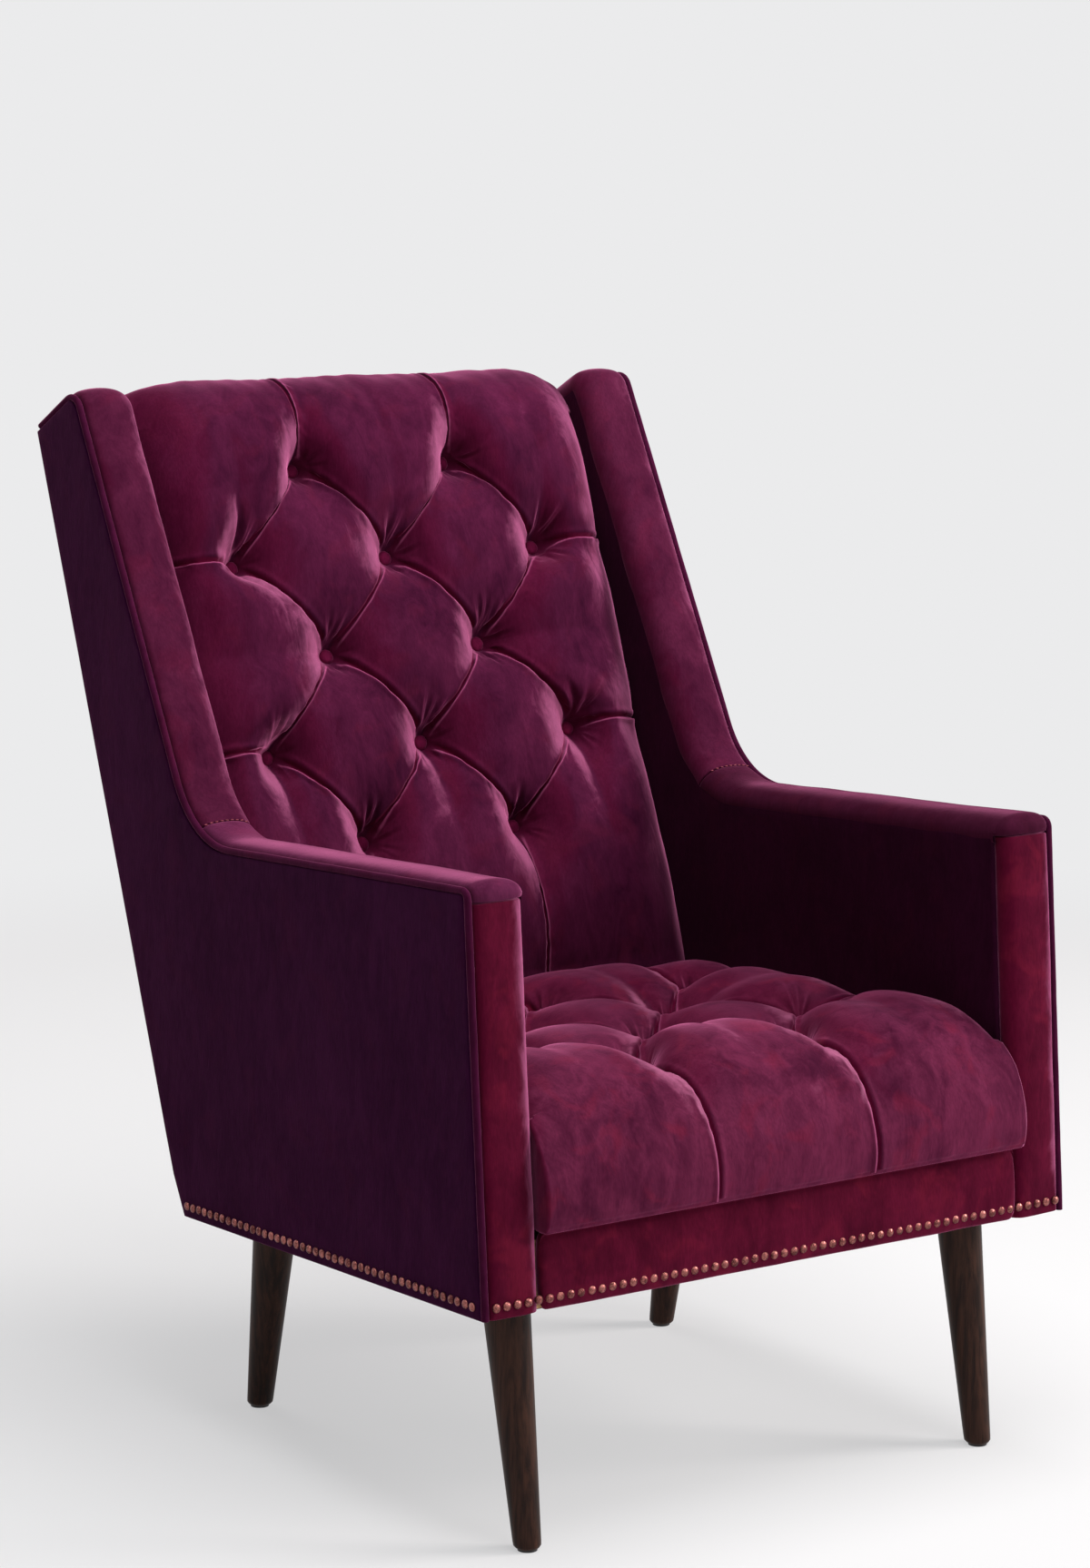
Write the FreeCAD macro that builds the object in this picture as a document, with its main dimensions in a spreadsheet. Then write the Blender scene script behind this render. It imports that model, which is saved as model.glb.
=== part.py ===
import FreeCAD
import Part
import Sketcher
import math
import os
import re
from FreeCAD import Placement, Rotation, Vector

# Tufted wing armchair in millimetres: a timber frame with webbing and foam, buttoned
# velvet pads, covered sides with piped edges, rows of nail heads and four turned legs.
# +Z is up and the seat opens towards -Y. Left and right are as seen from the front, so
# left is -X. The origin lies on the floor, below the middle of the chair's outer box.

# Driving sizes. Leans and rakes are degrees from upright, tilts and rises from level.
SIZES = {
    # The six lines of the side view: a point on each and its slope
    "body_width": 740.0,
    "front_y": -435.6,
    "front_z": 254.0,
    "front_lean": 4.3,
    "base_tilt": 2.4,
    "arm_y": 37.5,
    "arm_z": 647.0,
    "arm_rise": 3.5,
    "wing_y": 357.5,
    "wing_z": 1096.0,
    "wing_rake": 27.9,
    "back_y": 447.5,
    "back_z": 1046.0,
    "back_rake": 20.0,
    "heel_y": 142.9,
    "heel_z": 230.0,
    "heel_lean": 28.6,
    # Rounded corners of the side view
    "arm_front_round": 11.0,
    "arm_wing_round": 108.0,
    "wing_top_round": 24.0,
    # Covers
    "soft_gap": 0.3,
    "welt_diameter": 8.0,
    "panel_thickness": 5.0,
    "band_thickness": 12.0,
    "side_thickness": 66.0,
    "inner_swell": 6.0,
    "board_thickness": 3.0,
    "dust_thickness": 1.0,
    "apron_height": 78.0,
    # Timber
    "timber_width": 44.0,
    "rail_height": 68.0,
    "front_rail_width": 32.0,
    "rear_rail_width": 24.0,
    "arm_post_width": 40.0,
    "arm_rail_height": 40.0,
    "wing_post_width": 46.0,
    "back_post_depth": 42.0,
    "top_rail_drop": 13.0,
    "top_rail_height": 55.0,
    "lower_rail_drop": 645.0,
    "lower_rail_height": 50.0,
    "block_reach": 110.0,
    "block_height": 50.0,
    # Webbing
    "strap_width": 50.0,
    "strap_thickness": 2.0,
    "strap_overlap": 24.0,
    "strap_pitch": 105.0,
    "cross_strap_start": 90.0,
    "cross_strap_pitch": 82.0,
    "back_strap_start": 110.0,
    "back_strap_pitch": 112.0,
    # Foam and tufted pads
    "seat_foam_depth": 70.0,
    "seat_foam_front": 30.0,
    "seat_pad_setback": 19.0,
    "seat_button_level": 174.0,
    "seat_crown": 47.0,
    "seat_overhang": 11.2,
    "seat_first_row": 118.0,
    "seat_row_pitch": 105.0,
    "back_foam_depth": 11.0,
    "back_foam_drop": 30.0,
    "back_pad_length": 671.0,
    "back_button_level": 76.0,
    "back_crown": 38.0,
    "back_overhang": 10.0,
    "back_first_row": 72.5,
    "back_row_pitch": 107.3,
    "button_half_pitch": 100.8,
    "button_radius": 9.2,
    "button_crown_radius": 6.4,
    "button_height": 5.0,
    "button_sink": 1.0,
    # Legs, glides and hanger bolts
    "leg_top_radius": 24.5,
    "leg_foot_radius": 14.0,
    "leg_chamfer": 4.0,
    "front_leg_inset": 79.0,
    "front_leg_setback": 80.5,
    "front_leg_lean": 9.0,
    "rear_leg_inset": 97.0,
    "rear_leg_setback": 32.0,
    "rear_leg_lean": -9.7,
    "glide_height": 2.0,
    "bolt_radius": 4.0,
    "bolt_in_leg": 30.0,
    "bolt_in_block": 34.0,
    # Nail heads
    "nail_radius": 4.75,
    "nail_crown_radius": 2.6,
    "nail_height": 2.4,
    "nail_pitch": 12.5,
    "nail_level": 13.0,
    "nail_end": 12.0,
    "nail_side_start": 20.0,
    # One overrun for every cutting solid
    "overrun": 60.0,
}

SIDES = ("left", "right")
SEAT_ROWS = 4
BACK_ROWS = 5
SEAT_STRAPS = 5
CROSS_STRAPS = 5
BACK_STRAPS = 5
BACK_CROSS_STRAPS = 5
NAIL_SIDES = 6
BUTTON_SIDES = 12
LEG_SIDES = 24
WELT_SIDES = 8
# Facets along a patch of a tufted pad, and down its rolled edge
PATCH_FACETS = 6
ROLL_FACETS = 10

document = FreeCAD.newDocument("tufted_armchair")
sheet = document.addObject("Spreadsheet::Sheet", "Sizes")
for row, (alias, size) in enumerate(SIZES.items(), start=1):
    sheet.set(f"A{row}", alias)
    sheet.set(f"B{row}", str(size))
    sheet.setAlias(f"B{row}", alias)
document.recompute()

parts = {}


def bound(text):
    """An expression with every size name pointed at its cell."""
    return re.sub(r"[a-z_]+", lambda word: f"Sizes.{word[0]}" if word[0] in SIZES else word[0], text)


def value(text):
    """The number that an expression of size names gives now."""
    return float(sheet.evalExpression(bound(text)))


def keep(feature, node):
    """Give a finished feature its node name and list it for export."""
    feature.Label = node
    parts[node] = feature
    return feature


# Lines of the side view. Each has a unit normal that points into the chair, so that an
# inset moves it inwards, and pieces are closed profiles between such lines.
class Line:
    def __init__(self, y, z, normal_y, normal_z):
        self.y = y
        self.z = z
        self.normal_y = normal_y
        self.normal_z = normal_z

    def reach(self, inset):
        return f"(({inset}) + ({self.normal_y}) * ({self.y}) + ({self.normal_z}) * ({self.z}))"


def steep(y, z, lean, rearward):
    """A line that leans back by an angle from upright."""
    if rearward:
        return Line(y, z, f"cos({lean})", f"-sin({lean})")
    return Line(y, z, f"-cos({lean})", f"sin({lean})")


def level(y, z, fall, upward):
    """A line that falls towards the rear by an angle from level."""
    if upward:
        return Line(y, z, f"sin({fall})", f"cos({fall})")
    return Line(y, z, f"-sin({fall})", f"-cos({fall})")


FRONT = steep("front_y", "front_z", "front_lean", True)
WING = steep("wing_y", "wing_z", "wing_rake", True)
REAR = steep("back_y", "back_z", "back_rake", False)
HEEL = steep("heel_y", "heel_z", "heel_lean", False)
BASE = level("front_y", "front_z", "base_tilt", True)
FLOOR = level("0", "0", "0", True)
BEHIND = steep("back_y", "back_z", "0", False)
ARM = level("arm_y", "arm_z", "arm_rise", False)
TOP = level("wing_y", "wing_z", "wing_rake", False)
# Square to the underside through its front edge, and square to the back through its top
SEAT_RUN = steep("front_y", "front_z", "base_tilt", True)
BACK_RUN = level("back_y", "back_z", "back_rake", False)


def meet(first, second):
    """The y and z, as expressions, where two inset lines cross."""
    line, inset = first
    other, other_inset = second
    reach = line.reach(inset)
    other_reach = other.reach(other_inset)
    cross = f"(({line.normal_y}) * ({other.normal_z}) - ({other.normal_y}) * ({line.normal_z}))"
    y = f"({reach} * ({other.normal_z}) - {other_reach} * ({line.normal_z})) / {cross}"
    z = f"(({line.normal_y}) * {other_reach} - ({other.normal_y}) * {reach}) / {cross}"
    return y, z


def corners_of(sides):
    """Corners of a closed profile, one after each side."""
    return [meet(side, sides[(index + 1) % len(sides)]) for index, side in enumerate(sides)]


def extruded(node, corners, start, depth, rounds=None, plane="YZ_Plane"):
    """A body whose sketched corners, start and depth follow expressions."""
    body = document.addObject("PartDesign::Body", node)
    sketch = body.newObject("Sketcher::SketchObject", f"{node}_sketch")
    origin_plane = [item for item in body.Origin.OriginFeatures if item.Role == plane][0]
    sketch.AttachmentSupport = [(origin_plane, "")]
    sketch.MapMode = "FlatFace"
    sketch.setExpression("AttachmentOffset.Base.z", bound(start))
    places = [(value(across), value(up)) for across, up in corners]
    count = len(places)
    for index, (across, up) in enumerate(places):
        next_across, next_up = places[(index + 1) % count]
        edge = Part.LineSegment(Vector(across, up, 0), Vector(next_across, next_up, 0))
        sketch.addGeometry(edge, False)
    for index in range(count):
        sketch.addConstraint(Sketcher.Constraint("Coincident", index, 2, (index + 1) % count, 1))
    for index, (across, up) in enumerate(corners):
        for kind, text, place in zip(("DistanceX", "DistanceY"), (across, up), places[index]):
            number = sketch.addConstraint(Sketcher.Constraint(kind, index, 1, place))
            sketch.setExpression(f"Constraints[{number}]", bound(text))
    pad = body.newObject("PartDesign::Pad", f"{node}_pad")
    pad.Profile = sketch
    pad.setExpression("Length", bound(depth))
    for index, radius in (rounds or {}).items():
        document.recompute()
        tip = body.Tip
        fillet = body.newObject("PartDesign::Fillet", f"{node}_round_{index}")
        fillet.Base = (tip, edge_names(tip.Shape, places[index]))
        fillet.setExpression("Radius", bound(radius))
        body.Tip = fillet
    return body


def edge_names(shape, place):
    """Names of the edges along X that stand on one corner of a side profile."""
    across, up = place
    names = []
    for number, edge in enumerate(shape.Edges, start=1):
        centre = edge.CenterOfMass
        ends = [vertex.Point for vertex in edge.Vertexes]
        along_x = len(ends) == 2 and ends[0].sub(ends[1]).cross(Vector(1, 0, 0)).Length < Part.Precision.confusion()
        if along_x and math.hypot(centre.y - across, centre.z - up) < Part.Precision.confusion() * 100:
            names.append(f"Edge{number}")
    return names


def profile(node, sides, inner, outer, side="middle", rounds=None):
    """A profile between lines of the side view, extruded across the chair."""
    start = f"-({outer})" if side == "left" else inner
    return extruded(node, corners_of(sides), start, f"({outer}) - ({inner})", rounds)


def cut(node, base, tool):
    result = document.addObject("Part::Cut", f"{node}_cut")
    result.Base = base
    result.Tool = tool
    return result


def group(node, features):
    """Separate solids that share one node."""
    compound = document.addObject("Part::Compound", f"{node}_group")
    compound.Links = features
    return keep(compound, node)


def seat_point(run, rise):
    """y and z of a place measured along and square to the underside."""
    y = f"front_y + ({run}) * cos(base_tilt) + ({rise}) * sin(base_tilt)"
    z = f"front_z - ({run}) * sin(base_tilt) + ({rise}) * cos(base_tilt)"
    return y, z


def back_point(drop, rise):
    """y and z of a place measured down and square to the rear face."""
    y = f"back_y - ({drop}) * sin(back_rake) - ({rise}) * cos(back_rake)"
    z = f"back_z - ({drop}) * cos(back_rake) + ({rise}) * sin(back_rake)"
    return y, z


def place(feature, x, y, z, turn):
    """Bind a placement that turns about X."""
    feature.Placement = Placement(Vector(), Rotation(Vector(1, 0, 0), 1))
    for axis, text in zip("xyz", (x, y, z)):
        feature.setExpression(f"Placement.Base.{axis}", bound(text))
    feature.setExpression("Placement.Rotation.Angle", bound(turn))
    return feature


def tapered(name, sides, rings, locate, turn):
    """A many-sided solid through rings of (radius, height), each placed by its height."""
    sections = []
    for number, (radius, height) in enumerate(rings):
        ring = primitive("RegularPolygon", f"{name}_ring_{number}", {"Circumradius": radius})
        ring.Polygon = sides
        sections.append(place(ring, *locate(height), turn))
    loft = document.addObject("Part::Loft", name)
    loft.Sections = sections
    loft.Solid = True
    loft.Ruled = True
    return loft


def primitive(kind, name, sizes):
    """A Part primitive with its sizes bound to expressions."""
    feature = document.addObject(f"Part::{kind}", name)
    for size, text in sizes.items():
        feature.setExpression(size, bound(text))
    return feature


# Widths across the chair, from the middle plane outwards
HALF = "body_width / 2"
PANEL_INNER = f"{HALF} - panel_thickness"
TIMBER_INNER = f"{PANEL_INNER} - timber_width"
BOARD_INNER = f"{TIMBER_INNER} - board_thickness"
BAND_INNER = f"{HALF} - side_thickness"
PAD_SIDE = f"{BAND_INNER} - inner_swell"
BAND_OUTER = f"{HALF} - welt_diameter"
PAD_HALF = f"{PAD_SIDE} - soft_gap"

# Depths from the outer lines
RAIL_TOP = "dust_thickness + rail_height"
DECK = f"{RAIL_TOP} + 2 * strap_thickness"
ARM_RAIL_UNDER = "band_thickness + arm_rail_height"
POST_FRONT = "panel_thickness + back_post_depth"
BACK_DECK = f"{POST_FRONT} + 2 * strap_thickness"
BACK_PAD_UNDER = f"{BACK_DECK} + back_foam_depth + soft_gap"
SEAT_PAD_UNDER = f"{DECK} + seat_foam_depth + soft_gap"
SEAM_LEVEL = "apron_height + soft_gap"

# Run along the underside from its front edge to its rear edge, and what ends near the rear
HEEL_RUN = f"(({meet((BASE, '0'), (HEEL, '0'))[0]}) - front_y) / cos(base_tilt)"
REAR_RAIL_FRONT = f"{HEEL_RUN} - rear_rail_width"
SEAT_PAD_LENGTH = f"{HEEL_RUN} - seat_pad_setback"


def build_side_frames():
    for side in SIDES:
        def member(name, sides):
            return profile(f"{name}_{side}", sides, TIMBER_INNER, PANEL_INNER, side)

        side_rail = member("side_rail", [
            (FRONT, "band_thickness"), (BASE, RAIL_TOP), (REAR, "panel_thickness"),
            (HEEL, "panel_thickness"), (BASE, "dust_thickness")])
        arm_post = member("arm_post", [
            (FRONT, "band_thickness"), (ARM, ARM_RAIL_UNDER),
            (FRONT, "band_thickness + arm_post_width"), (BASE, RAIL_TOP)])
        arm_rail = member("arm_rail", [
            (FRONT, "band_thickness"), (ARM, "band_thickness"),
            (REAR, POST_FRONT), (ARM, ARM_RAIL_UNDER)])
        back_post = member("back_post", [
            (BASE, RAIL_TOP), (REAR, "panel_thickness"), (TOP, "band_thickness"), (REAR, POST_FRONT)])
        wing_stock = member("wing_post", [
            (ARM, "band_thickness"), (WING, "band_thickness"), (TOP, "band_thickness"),
            (WING, "band_thickness + wing_post_width")])
        keep(side_rail, f"side_rail_{side}")
        keep(arm_post, f"arm_post_{side}")
        keep(arm_rail, f"arm_rail_{side}")
        keep(back_post, f"back_post_{side}")
        keep(cut(f"wing_post_{side}", wing_stock, back_post), f"wing_post_{side}")


def build_cross_rails():
    def rail(node, sides):
        return profile(node, sides, f"-({TIMBER_INNER})", TIMBER_INNER)

    keep(rail("front_rail", [
        (FRONT, "band_thickness"), (BASE, RAIL_TOP),
        (SEAT_RUN, "band_thickness + front_rail_width"), (BASE, "dust_thickness")]), "front_rail")
    keep(rail("rear_rail", [
        (SEAT_RUN, REAR_RAIL_FRONT), (BASE, RAIL_TOP), (REAR, "panel_thickness"),
        (HEEL, "panel_thickness"), (BASE, "dust_thickness")]), "rear_rail")
    keep(rail("back_top_rail", [
        (REAR, "panel_thickness"), (BACK_RUN, "top_rail_drop"), (REAR, POST_FRONT),
        (BACK_RUN, "top_rail_drop + top_rail_height")]), "back_top_rail")
    keep(rail("back_lower_rail", [
        (REAR, "panel_thickness"), (BACK_RUN, "lower_rail_drop"), (REAR, POST_FRONT),
        (BACK_RUN, "lower_rail_drop + lower_rail_height")]), "back_lower_rail")


def leg_places():
    """Each leg's name, x, place of its top along the underside, and lean."""
    for side, sign in zip(SIDES, ("-", "")):
        for end, run in (("front", "front_leg_setback"), ("rear", f"{HEEL_RUN} - rear_leg_setback")):
            yield f"{end}_{side}", f"{sign}({HALF} - {end}_leg_inset)", run, f"{end}_leg_lean"


def build_bolts():
    """Hanger bolts that stand in the legs' tops and run up into the corner blocks."""
    bolts = []
    for name, x, run, _lean in leg_places():
        bolt = primitive("Cylinder", f"bolt_{name}", {
            "Radius": "bolt_radius", "Height": "bolt_in_leg + bolt_in_block"})
        y, z = seat_point(run, "-bolt_in_leg")
        bolts.append(place(bolt, x, y, z, "-base_tilt"))
    return group("hanger_bolts", bolts)


def build_corner_blocks(bolts):
    """Glued triangular blocks between the rails, bored for the hanger bolts."""
    blocks = []
    front = "band_thickness + front_rail_width"
    for side, sign in zip(SIDES, ("-", "")):
        for end, run, away in (("front", front, "+"), ("rear", REAR_RAIL_FRONT, "-")):
            wall = f"{sign}({TIMBER_INNER})"
            corners = [
                (wall, run),
                (wall, f"({run}) {away} block_reach"),
                (f"{sign}({TIMBER_INNER} - block_reach)", run)]
            block = extruded(f"block_{end}_{side}", corners, "dust_thickness", "block_height",
                             plane="XY_Plane")
            y, z = seat_point("0", "0")
            place(block, "0", y, z, "-base_tilt")
            blocks.append(cut(f"block_{end}_{side}", block, bolts))
    group("corner_blocks", blocks)


def build_legs(bolts):
    """Round tapered legs, splayed forwards at the front and raked back at the rear. Each is
    tapered with a small chamfer at the foot, leant, and cut level below and flush above."""
    above = profile("above_underside", [
        (SEAT_RUN, "-overrun"), (BASE, "2 * overrun"), (BEHIND, "0"), (BASE, "0")],
        f"-({HALF})", HALF)
    below = profile("below_feet", [
        (FLOOR, "glide_height"), (BEHIND, "0"), (FLOOR, "-overrun"), (SEAT_RUN, "-2 * overrun")],
        f"-({HALF})", HALF)
    glides = []
    for name, x, run, lean in leg_places():
        top_y, top_z = seat_point(run, "0")
        foot_y = f"({top_y}) - ({top_z} - glide_height) * tan({lean})"
        length = f"({top_z}) / cos({lean})"
        dip = f"leg_foot_radius * abs(tan({lean}))"
        stock = tapered(f"leg_stock_{name}", LEG_SIDES, (
            ("leg_foot_radius - leg_chamfer", f"-({dip})"),
            ("leg_foot_radius", f"leg_chamfer - ({dip})"),
            (f"leg_top_radius + (leg_top_radius - leg_foot_radius) * overrun / ({length})",
             f"{length} + overrun")),
            lambda height: (x, f"{foot_y} + ({height}) * sin({lean})",
                            f"glide_height + ({height}) * cos({lean})"), f"-({lean})")
        trimmed = cut(f"leg_{name}_top", stock, above)
        keep(cut(f"leg_{name}_bored", cut(f"leg_{name}_foot", trimmed, below), bolts), f"leg_{name}")
        glide = primitive("Cylinder", f"glide_{name}", {
            "Radius": "leg_foot_radius - leg_chamfer", "Height": "glide_height"})
        glides.append(place(glide, x, foot_y, "0 * glide_height", "0 * base_tilt"))
    group("glides", glides)


def build_webbing():
    """Straps laced under the seat and behind the back: one layer along, one across."""
    seat = []
    for number in range(SEAT_STRAPS):
        centre = f"({number} - {(SEAT_STRAPS - 1) / 2}) * strap_pitch"
        seat.append(profile(f"seat_strap_{number}", [
            (SEAT_RUN, "band_thickness + front_rail_width - strap_overlap"),
            (BASE, f"{RAIL_TOP} + strap_thickness"),
            (SEAT_RUN, f"{REAR_RAIL_FRONT} + strap_overlap"), (BASE, RAIL_TOP)],
            f"{centre} - strap_width / 2", f"{centre} + strap_width / 2"))
    for number in range(CROSS_STRAPS):
        start = f"cross_strap_start + {number} * cross_strap_pitch"
        seat.append(profile(f"seat_cross_strap_{number}", [
            (SEAT_RUN, start), (BASE, DECK), (SEAT_RUN, f"{start} + strap_width"),
            (BASE, f"{RAIL_TOP} + strap_thickness")],
            f"-({TIMBER_INNER} + strap_overlap)", f"{TIMBER_INNER} + strap_overlap"))
    group("seat_webbing", seat)
    back = []
    for number in range(BACK_STRAPS):
        centre = f"({number} - {(BACK_STRAPS - 1) / 2}) * strap_pitch"
        back.append(profile(f"back_strap_{number}", [
            (BACK_RUN, "top_rail_drop + top_rail_height - strap_overlap"),
            (REAR, f"{POST_FRONT} + strap_thickness"),
            (BACK_RUN, "lower_rail_drop + strap_overlap"), (REAR, POST_FRONT)],
            f"{centre} - strap_width / 2", f"{centre} + strap_width / 2"))
    for number in range(BACK_CROSS_STRAPS):
        start = f"back_strap_start + {number} * back_strap_pitch"
        back.append(profile(f"back_cross_strap_{number}", [
            (BACK_RUN, start), (REAR, BACK_DECK), (BACK_RUN, f"{start} + strap_width"),
            (REAR, f"{POST_FRONT} + strap_thickness")],
            f"-({BOARD_INNER} - soft_gap)", f"{BOARD_INNER} - soft_gap"))
    group("back_webbing", back)


def build_foam():
    """Plain foam layers under the tufted pads."""
    keep(profile("seat_foam_base", [
        (SEAT_RUN, "seat_foam_front + soft_gap"), (BASE, f"{DECK} + seat_foam_depth"),
        (SEAT_RUN, SEAT_PAD_LENGTH), (BASE, DECK)],
        f"-({PAD_HALF})", PAD_HALF), "seat_foam_base")
    keep(profile("back_foam_base", [
        (BACK_RUN, "back_foam_drop"), (REAR, f"{BACK_DECK} + back_foam_depth"),
        (BACK_RUN, "back_pad_length"), (REAR, BACK_DECK)],
        f"-({PAD_HALF})", PAD_HALF), "back_foam_base")


def build_side_covers():
    corner = meet((ARM, "0"), (WING, "0"))
    seam = steep(*corner, "(wing_rake + arm_rise - 90) / 2", True)
    for side in SIDES:
        keep(profile(f"outer_panel_{side}", [
            (BASE, "0"), (FRONT, "welt_diameter"), (ARM, "welt_diameter"), (WING, "welt_diameter"),
            (TOP, "welt_diameter"), (REAR, "0"), (HEEL, "0")],
            PANEL_INNER, HALF, side,
            {1: "arm_front_round - welt_diameter / 2", 2: "arm_wing_round + welt_diameter",
             3: "wing_top_round - welt_diameter"}), f"outer_panel_{side}")
        liner = [
            (BASE, f"{DECK} + soft_gap"), (FRONT, "band_thickness"), (ARM, "band_thickness"),
            (WING, "band_thickness"), (TOP, "band_thickness"), (REAR, f"{BACK_DECK} + soft_gap")]
        keep(profile(f"inner_board_{side}", liner, BOARD_INNER, TIMBER_INNER, side),
             f"inner_board_{side}")
        keep(profile(f"inner_panel_{side}", liner, PAD_SIDE, BOARD_INNER, side),
             f"inner_panel_{side}")
        keep(profile(f"arm_front_band_{side}", [
            (BASE, "0"), (FRONT, "0"), (ARM, "0"), (FRONT, "band_thickness")],
            BAND_INNER, BAND_OUTER, side, {1: "arm_front_round"}), f"arm_front_band_{side}")
        strip = profile(f"side_strip_{side}", [
            (FRONT, "band_thickness"), (ARM, "0"), (WING, "0"), (TOP, "0"),
            (REAR, "panel_thickness"), (TOP, "band_thickness"), (WING, "band_thickness"),
            (ARM, "band_thickness")],
            PAD_SIDE, BAND_OUTER, side, {1: "arm_wing_round", 2: "wing_top_round"})
        behind_seam = profile(f"behind_seam_{side}", [
            (seam, "0"), (TOP, "-overrun"), (REAR, "-overrun"), (ARM, "overrun")],
            f"{PAD_SIDE} - overrun", f"{HALF} + overrun", side)
        keep(cut(f"arm_top_band_{side}", strip, behind_seam), f"arm_top_band_{side}")
        wing_band = document.addObject("Part::Common", f"wing_front_band_{side}_common")
        wing_band.Base = strip
        wing_band.Tool = behind_seam
        keep(wing_band, f"wing_front_band_{side}")


def build_flat_covers(bolts):
    """The rail cover below the seat, the outside back and the cloth under the frame."""
    keep(profile("front_apron", [
        (BASE, "0"), (FRONT, "0"), (BASE, "apron_height"), (FRONT, "band_thickness")],
        f"-({BAND_INNER})", BAND_INNER), "front_apron")
    keep(profile("outside_back_panel", [
        (BACK_RUN, "0"), (REAR, "0"), (HEEL, "0"), (BASE, "0"), (HEEL, "panel_thickness"),
        (REAR, "panel_thickness")],
        f"-({PANEL_INNER})", PANEL_INNER), "outside_back_panel")
    cloth = profile("dust_cover", [
        (FRONT, "band_thickness"), (BASE, "dust_thickness"), (HEEL, "panel_thickness"), (BASE, "0")],
        f"-({PANEL_INNER})", PANEL_INNER)
    keep(cut("dust_cover", cloth, bolts), "dust_cover")


def rounded_path(points, radii):
    """Straight runs joined by tangent arcs, one radius for each inner point."""
    edges = []
    start = points[0]
    for before, corner, after, radius in zip(points, points[1:], points[2:], radii):
        towards = before.sub(corner).normalize()
        onwards = after.sub(corner).normalize()
        half_turn = towards.getAngle(onwards) / 2
        tangent = radius / math.tan(half_turn)
        first = corner.add(towards * tangent)
        last = corner.add(onwards * tangent)
        middle = corner.add(towards.add(onwards).normalize() * (radius / math.sin(half_turn) - radius))
        edges.append(Part.LineSegment(start, first).toShape())
        edges.append(Part.Arc(first, middle, last).toShape())
        start = last
    edges.append(Part.LineSegment(start, points[-1]).toShape())
    return Part.Wire(edges)


def build_welts():
    """Piping along the outer edge of each side, from the lower front to the wing's back."""
    inset = "welt_diameter / 2"
    sides = [(BASE, "0"), (FRONT, inset), (ARM, inset), (WING, inset), (TOP, inset),
             (REAR, "panel_thickness")]
    corners = [meet(*pair) for pair in zip(sides, sides[1:])]
    radii = [value(text) for text in (
        "arm_front_round - welt_diameter / 2", "arm_wing_round + welt_diameter / 2",
        "wing_top_round - welt_diameter / 2")]
    for side, sign in zip(SIDES, (-1, 1)):
        x = sign * value(f"{HALF} - {inset}")
        points = [Vector(x, value(y), value(z)) for y, z in corners]
        path = rounded_path(points, radii)
        turn = Rotation(Vector(0, 0, 1), points[1].sub(points[0]))
        ring = Part.makePolygon([points[0].add(turn.multVec(corner))
                                 for corner in regular_corners(value(inset), WELT_SIDES)])
        welt = document.addObject("Part::Feature", f"welt_{side}")
        welt.Shape = path.makePipeShell([ring], True, False)
        keep(welt, f"welt_{side}")


def regular_corners(radius, sides):
    """A closed ring of corners round the origin, in the plane z = 0."""
    turns = [2 * math.pi * number / sides for number in range(sides + 1)]
    return [Vector(radius * math.cos(turn), radius * math.sin(turn), 0) for turn in turns]


def mirror_of(point):
    return Vector(-point.x, point.y, point.z)


def chained(runs):
    """One list of points from runs that meet end to end, in whatever order they come."""
    left = [list(run) for run in runs]
    chain = left.pop(0)
    while left:
        for run in left:
            meets = [chain[end].distanceToPoint(run[other]) < Part.Precision.confusion()
                     for end, other in ((-1, 0), (-1, -1), (0, -1), (0, 0))]
            if any(meets):
                break
        left.remove(run)
        if meets[0]:
            chain += run[1:]
        elif meets[1]:
            chain += run[-2::-1]
        elif meets[2]:
            chain = run[:-1] + chain
        else:
            chain = run[:0:-1] + chain
    return chain


# Poles of the pleats, ridges and borders where a pad rolls over its free edge. Each pair
# is a share of the way from the last button to the seam, and a share of the full height.
SEAT_ROLL_SHARES = {
    "ridge": ((0.31, 1.20), (0.95, 1.29), (1.10, 0.36)),
    "pleat": ((0.18, 1.10), (0.84, 1.29), (1.15, 0.33)),
    "border": ((0.35, 0.91), (0.95, 1.31), (1.09, 0.36)),
}
BACK_ROLL_SHARES = {
    "ridge": ((0.37, 1.23), (1.05, 1.32), (1.42, 0.40)),
    "pleat": ((0.39, 1.03), (1.12, 1.18), (1.80, 0.38)),
    "border": ((0.37, 0.68), (0.95, 0.74), (1.27, 0.36)),
}
# Heights as shares of the crown above the buttons: the pleats half way along, the seams at
# the sides where a pleat ends and between pleats, and the far end's ridges and pleats
SEAT_HEIGHT_SHARES = {"pleat": 0.55, "side_pleat": 0.45, "side": 0.70, "end_ridge": 0.66, "end_pleat": 0.40}
BACK_HEIGHT_SHARES = {"pleat": 0.34, "side_pleat": -0.20, "side": 0.21, "end_ridge": 0.60, "end_pleat": 0.30}


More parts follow.
